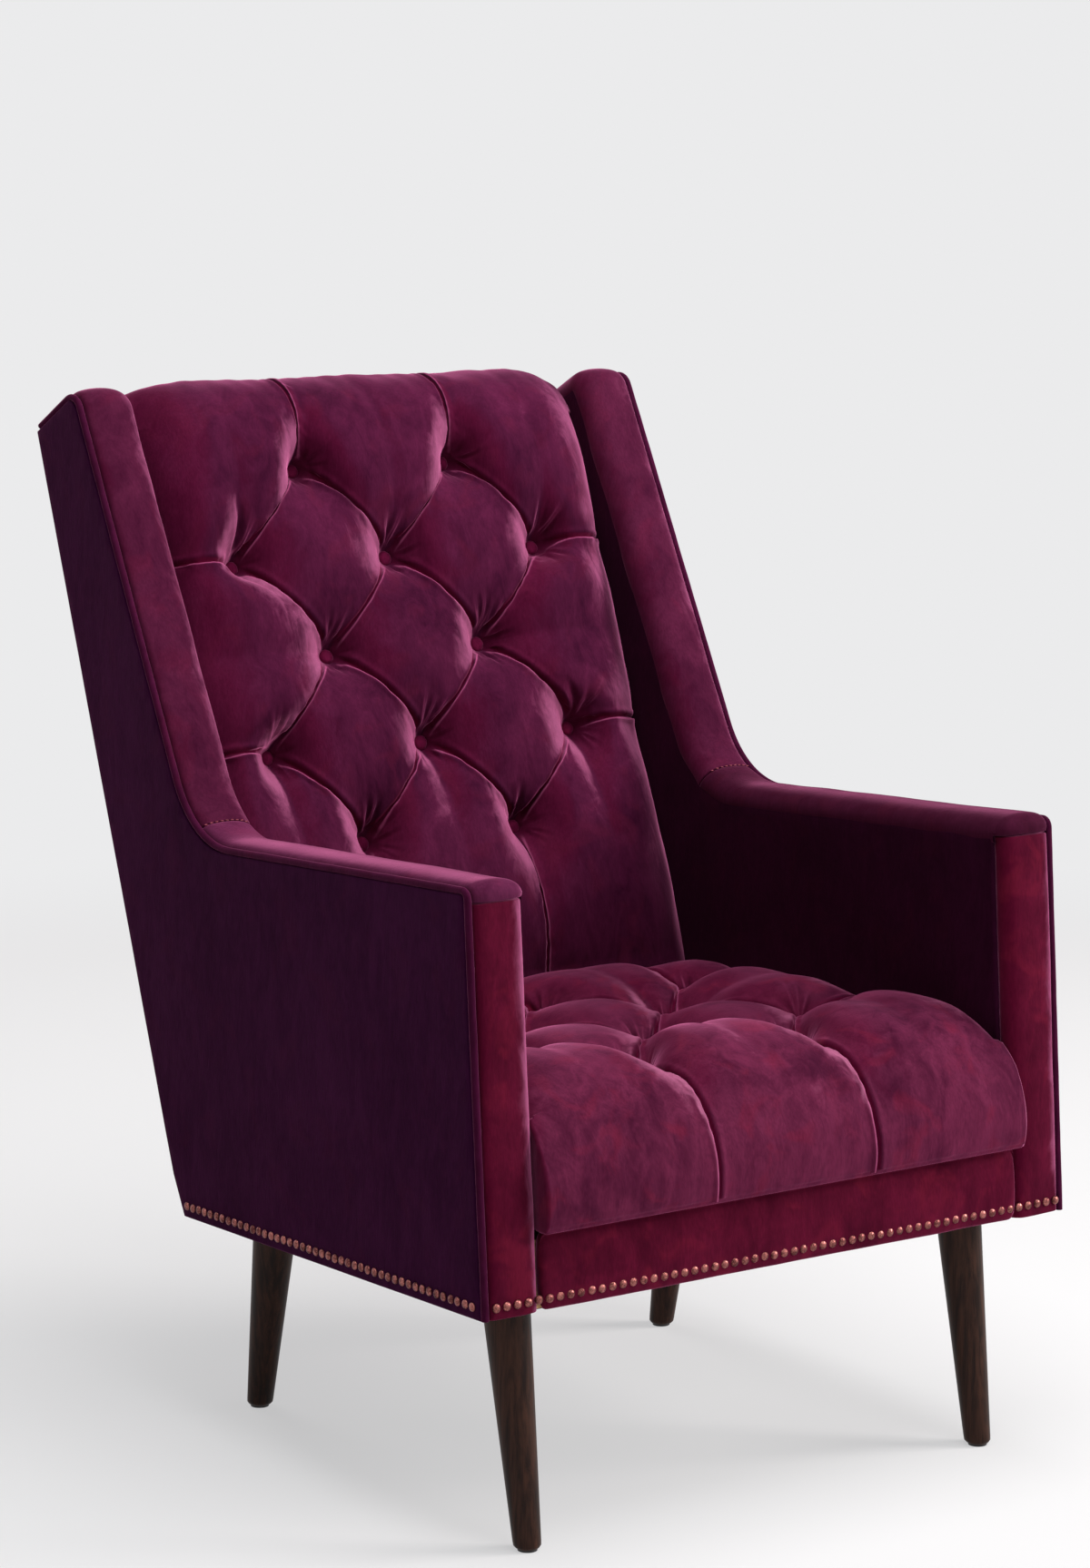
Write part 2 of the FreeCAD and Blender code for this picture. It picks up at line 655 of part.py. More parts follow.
class Quilt:
    """A buttoned pad. Its top is a set of curved patches that meet in pleats between the
    buttons: low at a button, higher half way along a pleat, and crowned in between. Places
    are (x, run, rise): run is measured from the rolled edge, rise from the outer face."""

    def __init__(self, prefix, rows, length, roll_shares, height_shares, seam, under):
        self.half = value(PAD_HALF)
        self.pitch = value("button_half_pitch")
        self.first = value(f"{prefix}_first_row")
        self.step = value(f"{prefix}_row_pitch")
        self.length = length
        self.low = value(f"{prefix}_button_level")
        self.crown = value(f"{prefix}_crown")
        self.rows = rows
        self.roll_shares = roll_shares
        self.height_shares = height_shares
        self.seam = seam
        self.under = under
        self.faces = []
        self.border = []
        self.far_end = []
        self.rolled_end = []

    def height(self, kind):
        return self.low + self.crown * self.height_shares[kind]

    def x(self, column):
        return self.half if column == "side" else column * self.pitch

    def node(self, column, row):
        """A button, or the end of a pleat at the side."""
        rise = self.height("side_pleat") if column == "side" else self.low
        return Vector(self.x(column), self.first + row * self.step, rise)

    def pleat_pole(self, start, end):
        """Middle pole of a pleat, lifted so that the pleat peaks at its own height."""
        middle = (start + end) / 2
        middle.z = 2 * self.height("pleat") - middle.z
        return middle

    def add_patch(self, poles, mirrored=True):
        """A faceted Bezier patch, and its mirror image on the other side of the chair."""
        rows = list(zip(*[points_along(column) for column in poles]))
        grid = [points_along(list(row)) for row in rows]
        for near, far in zip(grid, grid[1:]):
            for spot in range(len(near) - 1):
                corners = [near[spot], near[spot + 1], far[spot + 1], far[spot]]
                self.add_facets(corners)
                if mirrored:
                    self.add_facets([mirror_of(corner) for corner in corners])

    def add_facets(self, corners):
        """Two triangles between four corners, split along the shorter diagonal."""
        if corners[0].distanceToPoint(corners[2]) > corners[1].distanceToPoint(corners[3]):
            corners = corners[1:] + corners[:1]
        for triangle in ((0, 1, 2), (0, 2, 3)):
            self.add_face([corners[number] for number in triangle])

    def add_face(self, corners):
        self.faces.append(Part.Face(Part.makePolygon(corners + corners[:1])))

    def add_diamond(self, column, row):
        """A full diamond between four buttons."""
        near = self.node(column, row - 1)
        far = self.node(column, row + 1)
        left = self.node(column - 1, row)
        right = self.node(column + 1, row)
        pleat = self.height("pleat")
        crown_pole = Vector(near.x, left.y, self.low + 4 * (self.crown - (pleat - self.low)))
        self.add_patch([
            [near, self.pleat_pole(near, left), left],
            [self.pleat_pole(near, right), crown_pole, self.pleat_pole(left, far)],
            [right, self.pleat_pole(right, far), far]], mirrored=column > 0)

    def add_side_cell(self, row):
        """Two patches between an inner button and the side, split along their ridge."""
        inner = self.node(1, row)
        rim = Vector(self.half, inner.y, self.height("side"))
        ridge_rise = 2 * (self.low + self.crown) - (inner.z + rim.z) / 2
        ridge = Vector((inner.x + rim.x) / 2, inner.y, ridge_rise)
        for away in (-1, 1):
            button = self.node(2, row + away)
            side = self.node("side", row + away)
            end = self.pleat_pole(button, side)
            middle_run = (inner.y + button.y) / 2
            side_pole = Vector(self.half, middle_run, rim.z)
            self.add_patch([
                [inner, self.pleat_pole(inner, button), button],
                [ridge, Vector((ridge.x + end.x) / 2, middle_run, ridge_rise), end],
                [rim, side_pole, side]])
            self.border.append([rim, side_pole, side])

    def roll_column(self, start, kind):
        """Poles over the rolled edge, from a button or the side down to the seam."""
        seam_run, seam_rise = self.seam
        full = self.low + self.crown - seam_rise
        poles = [start]
        for forward, height in self.roll_shares[kind]:
            poles.append(Vector(start.x, start.y + forward * (seam_run - start.y), seam_rise + height * full))
        poles.append(Vector(start.x, seam_run, seam_rise))
        return poles

    def end_column(self, start, kind):
        """Poles from a button or the side back to the pad's far end."""
        peak = self.low + self.crown
        if kind != "ridge":
            peak = self.height("pleat" if kind == "pleat" else "side")
        end_rise = self.height({"ridge": "end_ridge", "pleat": "end_pleat", "border": "side"}[kind])
        end = Vector(start.x, self.length, end_rise)
        middle = Vector(start.x, (start.y + self.length) / 2, 2 * peak - (start.z + end_rise) / 2)
        return [start, middle, end]

    def add_strips(self, columns, ends):
        """Patches between neighbouring columns of poles. The middle column copies the
        ridge, so that the top is smooth across it and creased only at the pleats. The ends
        of the columns make one of the pad's edges across the chair."""
        for (kind, poles), (other_kind, other_poles) in zip(columns, columns[1:]):
            crest = other_poles if other_kind == "ridge" else poles
            x = (poles[0].x + other_poles[0].x) / 2
            middle = [Vector(x, pole.y, pole.z) for pole in crest]
            middle[0] = self.pleat_pole(poles[0], other_poles[0])
            self.add_patch([poles, middle, other_poles])
            ends.append([poles[-1], middle[-1], other_poles[-1]])
        self.border.append(columns[-1][1])

    def build_top(self):
        for row in range(1, self.rows - 1):
            if row % 2 == 0:
                self.add_diamond(0, row)
                self.add_side_cell(row)
            else:
                self.add_diamond(1, row)
        self.add_strips([
            ("ridge", self.roll_column(self.node(0, 1), "ridge")),
            ("pleat", self.roll_column(self.node(1, 0), "pleat")),
            ("ridge", self.roll_column(self.node(2, 1), "ridge")),
            ("border", self.roll_column(self.node("side", 1), "border"))], self.rolled_end)
        last = self.rows - 1
        ridge_row, pleat_row = (last - 1, last)
        if last % 2 == 0:
            kinds = ("ridge", "pleat", "ridge")
            side_row = ridge_row
        else:
            kinds = ("pleat", "ridge", "pleat")
            side_row = pleat_row
        columns = []
        for column, kind in enumerate(kinds):
            row = pleat_row if kind == "pleat" else ridge_row
            columns.append((kind, self.end_column(self.node(column, row), kind)))
        columns.append(("border", self.end_column(self.node("side", side_row), "border")))
        self.add_strips(columns, self.far_end)

    def build_walls(self):
        """Flat sides, underside and far end, with the same edges as the top."""
        outline = [self.seam] + self.under
        bottom_run, bottom_rise = outline[-1]
        for start, end in zip(outline, outline[1:]):
            near = [Vector(self.half, *start), Vector(-self.half, *start)]
            if start == self.seam:
                near = self.across(self.rolled_end)
            self.add_face(near + [Vector(-self.half, *end), Vector(self.half, *end)])
        side = chained([points_along(poles) for poles in self.border])
        if side[0].y > side[-1].y:
            side.reverse()
        below = [Vector(self.half, *place) for place in reversed(outline[1:])]
        self.add_face(side + below)
        self.add_face([mirror_of(corner) for corner in side + below])
        self.add_face(self.across(self.far_end) + [
            Vector(-self.half, bottom_run, bottom_rise), Vector(self.half, bottom_run, bottom_rise)])

    def across(self, ends):
        """Points along an edge across the chair, from +X to -X."""
        half = chained([points_along(poles) for poles in ends])
        if half[0].x < half[-1].x:
            half.reverse()
        return half + [mirror_of(corner) for corner in reversed(half[:-1])]

    def buttons(self):
        """Every button's place, from the rolled edge to the far end."""
        for row in range(self.rows):
            for column in ((-1, 1) if row % 2 == 0 else (-2, 0, 2)):
                yield column, row

    def solid(self):
        self.build_top()
        self.build_walls()
        skin = Part.Compound(self.faces)
        skin.sewShape()
        pad = Part.Solid(skin.Shells[0])
        if pad.Volume < 0:
            pad.reverse()
        radius = value("button_radius + soft_gap")
        floor = self.low - value("button_sink")
        wells = []
        for column, row in self.buttons():
            centre = Vector(self.x(column), self.first + row * self.step, floor)
            ring = [corner.add(centre) for corner in regular_corners(radius, BUTTON_SIDES)]
            wells.append(Part.Face(Part.makePolygon(ring)).extrude(Vector(0, 0, 2 * self.crown)))
        return pad.cut(Part.Compound(wells))


def points_along(poles):
    """Points spaced along a Bezier curve, more where it runs over a rolled edge."""
    curve = Part.BezierCurve()
    curve.setPoles(poles)
    count = ROLL_FACETS if len(poles) > 3 else PATCH_FACETS
    return [curve.value(number / count) for number in range(count + 1)]


def build_pads():
    """The buttoned seat and back. Places on the back run downwards from its top."""
    seam = (-value("seat_overhang"), value(SEAM_LEVEL))
    front = value("seat_foam_front")
    under = value(SEAT_PAD_UNDER)
    length = value(SEAT_PAD_LENGTH)
    seat = Quilt("seat", SEAT_ROWS, length, SEAT_ROLL_SHARES, SEAT_HEIGHT_SHARES, seam,
                 [(front, seam[1]), (front, under), (length, under)])
    pad = document.addObject("Part::Feature", "seat_tufted_pad")
    pad.Shape = seat.solid()
    origin = Vector(0, value("front_y"), value("front_z"))
    pad.Placement = Placement(origin, Rotation(Vector(1, 0, 0), -value("base_tilt")))
    keep(pad, "seat_tufted_pad")

    edge = value("panel_thickness + soft_gap")
    seam = (-value("back_overhang"), edge)
    drop = value("top_rail_drop - soft_gap")
    under = value(BACK_PAD_UNDER)
    length = value("back_pad_length")
    back = Quilt("back", BACK_ROWS, length, BACK_ROLL_SHARES, BACK_HEIGHT_SHARES, seam,
                 [(drop, edge), (drop, under), (length, under)])
    pad = document.addObject("Part::Feature", "back_tufted_pad")
    # The pad is built lying down. Half a turn points its run at the seat, and the turn
    # about X then stands it up against the raked back.
    pad.Shape = back.solid()
    origin = Vector(0, value("back_y"), value("back_z"))
    stand = Rotation(Vector(1, 0, 0), 90 - value("back_rake")) * Rotation(Vector(0, 0, 1), 180)
    pad.Placement = Placement(origin, stand)
    keep(pad, "back_tufted_pad")

    for prefix, quilt, locate, turn in (
            ("seat", seat, seat_point, "-base_tilt"), ("back", back, back_point, "90 - back_rake")):
        buttons = []
        for column, row in quilt.buttons():
            run = f"{prefix}_first_row + {row} * {prefix}_row_pitch"
            buttons.append(tapered(f"{prefix}_button_{row}_{column + 2}", BUTTON_SIDES, (
                ("button_radius", "0"), ("button_crown_radius", "button_height")),
                lambda height: (f"{column} * button_half_pitch", *locate(
                    run, f"{prefix}_button_level - button_sink + {height}")), turn))
        group(f"{prefix}_buttons", buttons)


def nail_head():
    """A low faceted head on the plane z = 0."""
    lower = regular_corners(value("nail_radius"), NAIL_SIDES)
    upper = [corner.add(Vector(0, 0, value("nail_height")))
             for corner in regular_corners(value("nail_crown_radius"), NAIL_SIDES)]
    outlines = [lower, upper]
    for number in range(NAIL_SIDES):
        outlines.append([lower[number], lower[number + 1], upper[number + 1], upper[number], lower[number]])
    head = Part.Solid(Part.Shell([Part.Face(Part.makePolygon(outline)) for outline in outlines]))
    if head.Volume < 0:
        head.reverse()
    return head


def build_nails():
    """Decorative nails just above the lower edge, along the front and both sides."""
    head = nail_head()
    pitch = value("nail_pitch")
    rise = value("nail_level")
    half = value(HALF)
    origin = Vector(0, value("front_y"), value("front_z"))
    front_frame = Placement(origin, Rotation(Vector(1, 0, 0), -value("front_lean")))
    seat_frame = Placement(origin, Rotation(Vector(1, 0, 0), -value("base_tilt")))

    def row_of_nails(node, frame, start, end, locate, rotation):
        count = int((end - start) / pitch) + 1
        slack = (end - start - (count - 1) * pitch) / 2
        nails = []
        for number in range(count):
            spot = locate(start + slack + number * pitch)
            nail = head.copy()
            nail.Placement = frame.multiply(Placement(spot, rotation))
            nails.append(nail)
        row = document.addObject("Part::Feature", node)
        row.Shape = Part.Compound(nails)
        keep(row, node)

    reach = half - value("nail_end")
    row_of_nails("nail_trim_front", front_frame, -reach, reach,
                 lambda along: Vector(along, 0, rise), Rotation(Vector(1, 0, 0), 90))
    heel_y, heel_z = meet((HEEL, "0"), (BASE, "nail_level"))
    length = Vector(0, value(heel_y), value(heel_z)).sub(origin).Length
    for side, sign in zip(SIDES, (-1, 1)):
        row_of_nails(f"nail_trim_{side}", seat_frame, value("nail_side_start"),
                     length - value("nail_end"),
                     lambda along: Vector(sign * half, along, rise),
                     Rotation(Vector(0, 1, 0), sign * 90))


build_side_frames()
build_cross_rails()
hanger_bolts = build_bolts()
build_corner_blocks(hanger_bolts)
build_legs(hanger_bolts)
build_webbing()
build_foam()
build_side_covers()
build_flat_covers(hanger_bolts)
build_welts()
build_pads()
build_nails()
document.recompute()

for item in document.Objects:
    if "Invalid" in item.State or "Error" in item.State:
        raise RuntimeError(f"{item.Name} failed: {item.State}")
for node, feature in parts.items():
    if feature.Shape.isNull() or not feature.Shape.isValid():
        raise RuntimeError(f"{node} has no valid shape")

os.makedirs("parts", exist_ok=True)
for node, feature in parts.items():
    feature.Shape.exportStep(f"parts/{node}.step")
print(f"{len(parts)} nodes written")
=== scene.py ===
"""Tufted armchair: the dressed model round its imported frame, in metres.

+Z is up, the seat opens towards -Y and left is -X, as seen from the front. The frame's
timber, webbing and foam stay as they are; velvet, piping, buttons, nails, legs and cloth
are modelled here over the same outer lines.
"""
import logging
import math
import random
from dataclasses import dataclass
from enum import Enum
from typing import Callable, Iterator, Sequence

import bmesh
import bpy
import numpy as np
from mathutils import Matrix, Vector, noise


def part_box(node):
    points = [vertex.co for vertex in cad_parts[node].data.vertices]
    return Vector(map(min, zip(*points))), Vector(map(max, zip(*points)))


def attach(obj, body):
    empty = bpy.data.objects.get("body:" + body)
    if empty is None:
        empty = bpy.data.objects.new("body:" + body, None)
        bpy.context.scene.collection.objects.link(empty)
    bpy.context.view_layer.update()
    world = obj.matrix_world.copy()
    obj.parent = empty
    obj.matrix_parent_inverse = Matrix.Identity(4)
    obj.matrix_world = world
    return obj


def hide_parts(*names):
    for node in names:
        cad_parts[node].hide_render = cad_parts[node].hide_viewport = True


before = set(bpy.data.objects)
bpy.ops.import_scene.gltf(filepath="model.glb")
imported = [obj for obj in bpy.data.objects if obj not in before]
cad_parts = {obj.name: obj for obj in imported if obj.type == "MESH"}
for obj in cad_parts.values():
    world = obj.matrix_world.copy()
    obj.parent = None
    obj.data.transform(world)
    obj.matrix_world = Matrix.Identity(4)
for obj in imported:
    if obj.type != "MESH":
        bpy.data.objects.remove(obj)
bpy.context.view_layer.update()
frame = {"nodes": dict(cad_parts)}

LOG = logging.getLogger("armchair")
BODY = "root"
UP = Vector((0.0, 0.0, 1.0))
ACROSS = Vector((1.0, 0.0, 0.0))

# Closer than the first, two places are one; closer than the second, patch corners are merged.
TOUCHING = 1e-6
WELD = 5e-5
# Levels of the pads' undersides, above the body's underside and its rear face.
SEAT_UNDER = 0.1433
BACK_UNDER = 0.0623
# Length of the body's underside, from the front to the heel.
HEEL_RUN = 0.57888
# How far a pattern of noise moves along each axis as its seed grows by one.
SEED_SHARES = (1.0, 0.7, 1.3)


class Side(Enum):
    """The chair's two sides, seen from the front."""

    LEFT = -1
    RIGHT = 1

    @property
    def word(self) -> str:
        """The side's name as it stands in node names."""
        return self.name.lower()


class Slope(Enum):
    """Which way a straight outer line of the side view faces."""

    REARWARD = 1
    FORWARD = 2
    UPWARD = 3
    DOWNWARD = 4


# Side view of the body

@dataclass(frozen=True)
class Edge:
    """A straight outer line of the side view, with a normal that points into the chair."""

    y: float
    z: float
    slope: float
    facing: Slope

    @property
    def normal(self) -> Vector:
        """Unit normal that points into the chair."""
        turn = math.radians(self.slope)
        steep = Vector((0.0, math.cos(turn), -math.sin(turn)))
        level = Vector((0.0, math.sin(turn), math.cos(turn)))
        return {Slope.REARWARD: steep, Slope.FORWARD: -steep,
                Slope.UPWARD: level, Slope.DOWNWARD: -level}[self.facing]

    def frame(self, turn: float) -> Matrix:
        """A frame at the line's own point, turned about X by a number of degrees."""
        return Matrix.Translation((0.0, self.y, self.z)) @ Matrix.Rotation(math.radians(turn), 4, "X")

    def meet(self, other: "Edge", inset: float = 0.0, other_inset: float = 0.0) -> Vector:
        """Where this line crosses another.

        Args:
            other: The line that it crosses.
            inset: How far this line is moved into the chair.
            other_inset: How far the other line is moved into the chair.

        Returns:
            The crossing, in the middle plane.
        """
        first, second = self.normal, other.normal
        reach = first.y * self.y + first.z * self.z + inset
        other_reach = second.y * other.y + second.z * other.z + other_inset
        cross = first.y * second.z - second.y * first.z
        return Vector((0.0, (reach * second.z - other_reach * first.z) / cross,
                       (first.y * other_reach - second.y * reach) / cross))


@dataclass(frozen=True)
class BodyLines:
    """The outer lines and widths that every cover follows."""

    half_width: float = 0.370
    band_outer: float = 0.362
    band_inner: float = 0.304
    pad_side: float = 0.298
    band_depth: float = 0.012
    panel_depth: float = 0.005
    welt_radius: float = 0.004
    front_round: float = 0.013
    arm_wing_round: float = 0.108
    wing_top_round: float = 0.024
    front: Edge = Edge(-0.4356, 0.254, 4.3, Slope.REARWARD)
    base: Edge = Edge(-0.4356, 0.254, 2.4, Slope.UPWARD)
    arm: Edge = Edge(0.0375, 0.647, 3.5, Slope.DOWNWARD)
    wing: Edge = Edge(0.3575, 1.096, 27.9, Slope.REARWARD)
    top: Edge = Edge(0.3631, 1.1066, 27.9, Slope.DOWNWARD)
    rear: Edge = Edge(0.4475, 1.046, 20.0, Slope.FORWARD)
    heel: Edge = Edge(0.1429, 0.230, 28.6, Slope.FORWARD)

    def seat_frame(self) -> Matrix:
        """Frame of places measured along and square to the underside."""
        return self.front.frame(-self.base.slope)

    def back_frame(self) -> Matrix:
        """Frame of places measured down and square to the rear face."""
        return self.rear.frame(90.0 - self.rear.slope) @ Matrix.Rotation(math.pi, 4, "Z")

    def front_frame(self) -> Matrix:
        """Frame of places measured across and up the leaning front."""
        return self.front.frame(-self.front.slope)


@dataclass(frozen=True)
class Station:
    """A place on a swept path."""

    point: Vector
    along: Vector

    @property
    def inward(self) -> Vector:
        """Square to the path, into the chair."""
        return Vector((0.0, self.along.z, -self.along.y))


def rounded_path(corners: Sequence[Vector], radii: Sequence[float], step: float = 0.02,
                 arc_steps: int = 8) -> list[Station]:
    """Stations along straight runs joined by tangent arcs.

    Args:
        corners: Corners of the path, ends included.
        radii: A radius for each inner corner.
        step: Distance between stations on a straight run.
        arc_steps: Steps on each arc.

    Returns:
        The stations, in order, with no two in one place.
    """
    stations: list[Station] = []

    def straight(start: Vector, end: Vector) -> None:
        """Add stations along a straight run.

        Args:
            start: Where it starts.
            end: Where it ends.
        """
        length = (end - start).length
        if length < TOUCHING:
            return
        along = (end - start) / length
        count = max(1, round(length / step))
        for number in range(count + 1):
            add(start.lerp(end, number / count), along)

    def add(point: Vector, along: Vector) -> None:
        """Add a station, unless the last one is in the same place."""
        if not stations or (stations[-1].point - point).length > TOUCHING:
            stations.append(Station(point, along))

    start = corners[0]
    for before, corner, after, radius in zip(corners, corners[1:], corners[2:], radii):
        towards = (before - corner).normalized()
        onwards = (after - corner).normalized()
        half = towards.angle(onwards) / 2.0
        reach = radius / math.tan(half)
        centre = corner + (towards + onwards).normalized() * (radius / math.sin(half))
        straight(start, corner + towards * reach)
        first = corner + towards * reach - centre
        turn = math.pi - 2.0 * half
        sign = 1.0 if towards.cross(onwards).x < 0.0 else -1.0
        for number in range(1, arc_steps + 1):
            spin = Matrix.Rotation(sign * turn * number / arc_steps, 3, "X")
            add(centre + spin @ first, spin @ -towards)
        start = corner + onwards * reach
    straight(start, corners[-1])
    return stations


# Shader groups and finishes

@dataclass(frozen=True)
class Tone:
    """A colour as it looks on a screen, from 0 to 255."""

    red: float
    green: float
    blue: float

    def linear(self) -> tuple[float, float, float, float]:
        """The colour as a shader wants it."""
        shares = [channel / 255.0 for channel in (self.red, self.green, self.blue)]
        low, scale, offset, power = 0.04045, 12.92, 0.055, 2.4
        red, green, blue = (
            share / scale if share <= low else ((share + offset) / (1 + offset)) ** power
            for share in shares)
        return red, green, blue, 1.0


Input = bpy.types.NodeSocket | float | tuple[float, float, float, float]
Values = dict[str, Tone | float]
Outputs = dict[str, bpy.types.NodeSocket]


class Nodes:
    """A short hand for building a node tree."""

    def __init__(self, tree: bpy.types.NodeTree) -> None:
        """Start on a tree that already has, or will get, its own sockets."""
        self.tree = tree

    def add(self, kind: str, inputs: dict | None = None, **settings) -> bpy.types.Node:
        """Add a node.

        Args:
            kind: The node's type without the word ShaderNode.
            inputs: Values or output sockets for its inputs, by name or number.
            **settings: Properties of the node.

        Returns:
            The node.
        """
        node = self.tree.nodes.new(f"ShaderNode{kind}")
        for word, setting in settings.items():
            setattr(node, word, setting)
        for name, content in (inputs or {}).items():
            if isinstance(content, bpy.types.NodeSocket):
                self.tree.links.new(content, node.inputs[name])
            else:
                node.inputs[name].default_value = content
        return node

    def ramp(self, factor: bpy.types.NodeSocket, low: float, high: float,
             start: float = 0.0, end: float = 1.0) -> bpy.types.NodeSocket:
        """Map a factor smoothly to a new range.

        Args:
            factor: The factor.
            low: The factor at which the result starts to change.
            high: The factor at which it stops.
            start: The result up to low.
            end: The result from high on.

        Returns:
            The result's socket.
        """
        node = self.add("MapRange", {"Value": factor, "From Min": low, "From Max": high,
                                     "To Min": start, "To Max": end}, interpolation_type="SMOOTHSTEP")
        return node.outputs["Result"]

    def mix(self, factor: Input, first: Input, second: Input) -> bpy.types.NodeSocket:
        """Blend two colours.

        Args:
            factor: Share of the second colour.
            first: One colour, or its socket.
            second: The other.

        Returns:
            The blend's socket.
        """
        factor_input, first_input, second_input, color_output = 0, 6, 7, 2
        node = self.add("Mix", data_type="RGBA")
        for number, content in ((factor_input, factor), (first_input, first), (second_input, second)):
            if isinstance(content, bpy.types.NodeSocket):
                self.tree.links.new(content, node.inputs[number])
            else:
                node.inputs[number].default_value = content
        return node.outputs[color_output]

    def pattern(self, place: bpy.types.NodeSocket, scale: Input, detail: float, roughness: float = 0.5,
                distortion: float = 0.0) -> bpy.types.NodeSocket:
        """A noise pattern's value at a place."""
        node = self.add("TexNoise", {"Vector": place, "Scale": scale, "Detail": detail,
                                     "Roughness": roughness, "Distortion": distortion})
        return node.outputs["Fac"]

    def math(self, operation: str, *values: Input) -> bpy.types.NodeSocket:
        """Combine numbers, each a value or a socket."""
        return self.add("Math", dict(enumerate(values)), operation=operation).outputs[0]


Builder = Callable[[Nodes, bpy.types.Node], Outputs]


def shader_group(build: Builder, values: Values) -> bpy.types.NodeTree:
    """Make a shader node group once, which gives a colour, a roughness and a height.

    Args:
        build: Fills the group, which takes its name.
        values: A value for each input; a tone makes a colour input.

    Returns:
        The group.
    """
    tree = bpy.data.node_groups.get(build.__name__)
    if tree:
        return tree
    tree = bpy.data.node_groups.new(build.__name__, "ShaderNodeTree")
    for word, content in values.items():
        kind = "Color" if isinstance(content, Tone) else "Float"
        tree.interface.new_socket(word, in_out="INPUT", socket_type=f"NodeSocket{kind}")
    for word, kind in (("Color", "Color"), ("Roughness", "Float"), ("Height", "Float")):
        tree.interface.new_socket(word, in_out="OUTPUT", socket_type=f"NodeSocket{kind}")
    entry = tree.nodes.new("NodeGroupInput")
    leave = tree.nodes.new("NodeGroupOutput")
    for word, socket in build(Nodes(tree), entry).items():
        tree.links.new(socket, leave.inputs[word])
    return tree


def nap_and_painted_light(nodes: Nodes, entry: bpy.types.Node) -> Outputs:
    """Brushed pile: broad patches, short brush marks and fine grain, with painted light: a painted highlight
    on slopes that face the key lamp and on fold lips, and painted shade on slopes that face away and in fold
    grooves.

    Args:
        nodes: The group's node tree.
        entry: Its input node.

    Returns:
        The sockets that feed its outputs.
    """
    place = nodes.add("TexCoord").outputs["Object"]
    patch = nodes.pattern(place, entry.outputs["Patches"], detail=5.0, roughness=0.62, distortion=0.6)
    stretch = nodes.add("Mapping", {"Vector": place, "Scale": (1.0, 1.0, 0.30)}).outputs[0]
    brush = nodes.pattern(stretch, 46.0, detail=4.0, roughness=0.65, distortion=1.2)
    cloud = nodes.pattern(place, 22.0, detail=3.0, distortion=0.8)
    pile = nodes.pattern(place, 1500.0, detail=2.0)
    weave = nodes.pattern(stretch, 420.0, detail=2.0)
    broad = nodes.ramp(patch, low=0.25, high=0.75)
    fine = nodes.ramp(brush, low=0.22, high=0.78)
    lifted = nodes.math("MULTIPLY_ADD", fine, entry.outputs["Brushing"], broad)
    lifted = nodes.math("DIVIDE", lifted, nodes.math("ADD", entry.outputs["Brushing"], 1.0))
    # The "lip" attribute is light painted along the pleats and creases: above 0 a painted highlight on lips
    # and crease edges, which also lifts the tone, below 0 painted shade in the grooves.
    lip = nodes.add("Attribute", attribute_name="lip").outputs["Fac"]
    painted_lip_lift, patch_in_painted_light, grain_depth, brush_height, pile_height = 0.8, 0.70, 0.5, 0.6, 0.35
    lifted = nodes.math("MULTIPLY_ADD", lip, painted_lip_lift, lifted)
    # The "lean" attribute is light painted by facing, made uneven by the patches.
    lean = nodes.add("Attribute", attribute_name="lean").outputs["Fac"]
    lean = nodes.math("MULTIPLY_ADD", nodes.math("SUBTRACT", lifted, 0.5), patch_in_painted_light, lean)
    # Painted highlight in the Pale tone on slopes that face the key lamp and painted shade on slopes that
    # face away; painted highlight in the Edge tone on fold lips and painted shade in the grooves.
    towards = nodes.ramp(lean, low=0.25, high=1.0, start=0.0, end=0.85)
    away = nodes.ramp(lean, low=-1.0, high=-0.15, start=0.40, end=0.0)
    painted_highlight = nodes.ramp(lip, low=0.15, high=1.0, start=0.0, end=0.75)
    shaded = nodes.ramp(lip, low=-0.9, high=-0.1, start=0.7, end=0.0)
    color = nodes.mix(lifted, entry.outputs["Deep"], entry.outputs["Lift"])
    for share, tone in ((towards, "Pale"), (away, "Fold"), (painted_highlight, "Edge"), (shaded, "Fold")):
        color = nodes.mix(share, color, entry.outputs[tone])
    blush = nodes.ramp(cloud, low=0.52, high=0.72)
    blush = nodes.math("MULTIPLY", blush, entry.outputs["Blush share"])
    color = nodes.mix(blush, color, entry.outputs["Blush"])
    grain = nodes.math("MULTIPLY_ADD", nodes.math("SUBTRACT", weave, 0.5), grain_depth, 1.0)
    grain = nodes.add("CombineXYZ", {0: grain, 1: grain, 2: grain}).outputs[0]
    color = nodes.add("VectorMath", {0: color, 1: grain}, operation="MULTIPLY").outputs[0]
    rough = nodes.ramp(lifted, low=0.0, high=1.0, start=0.78, end=0.62)
    height = nodes.math("MULTIPLY_ADD", pile, pile_height, weave)
    height = nodes.math("MULTIPLY_ADD", brush, brush_height, height)
    return {"Color": color, "Roughness": rough, "Height": height}


def wood_grain(nodes: Nodes, entry: bpy.types.Node) -> Outputs:
    """Long grain of turned or sawn wood, which runs along Z.

    Args:
        nodes: The group's node tree.
        entry: Its input node.

    Returns:
        The sockets that feed its outputs.
    """
    place = nodes.add("TexCoord").outputs["Object"]
    long = nodes.add("Mapping", {"Vector": place, "Scale": (1.0, 1.0, 0.06)}).outputs[0]
    streak = nodes.pattern(long, entry.outputs["Scale"], detail=8.0, roughness=0.7, distortion=0.4)
    pores = nodes.pattern(long, 900.0, detail=2.0)
    share = nodes.ramp(streak, low=0.35, high=0.68)
    color = nodes.mix(share, entry.outputs["Dark"], entry.outputs["Light"])
    rough = nodes.ramp(streak, low=0.3, high=0.7, start=0.34, end=0.50)
    pore_depth = 0.5
    height = nodes.math("MULTIPLY_ADD", pores, pore_depth, streak)
    return {"Color": color, "Roughness": rough, "Height": height}


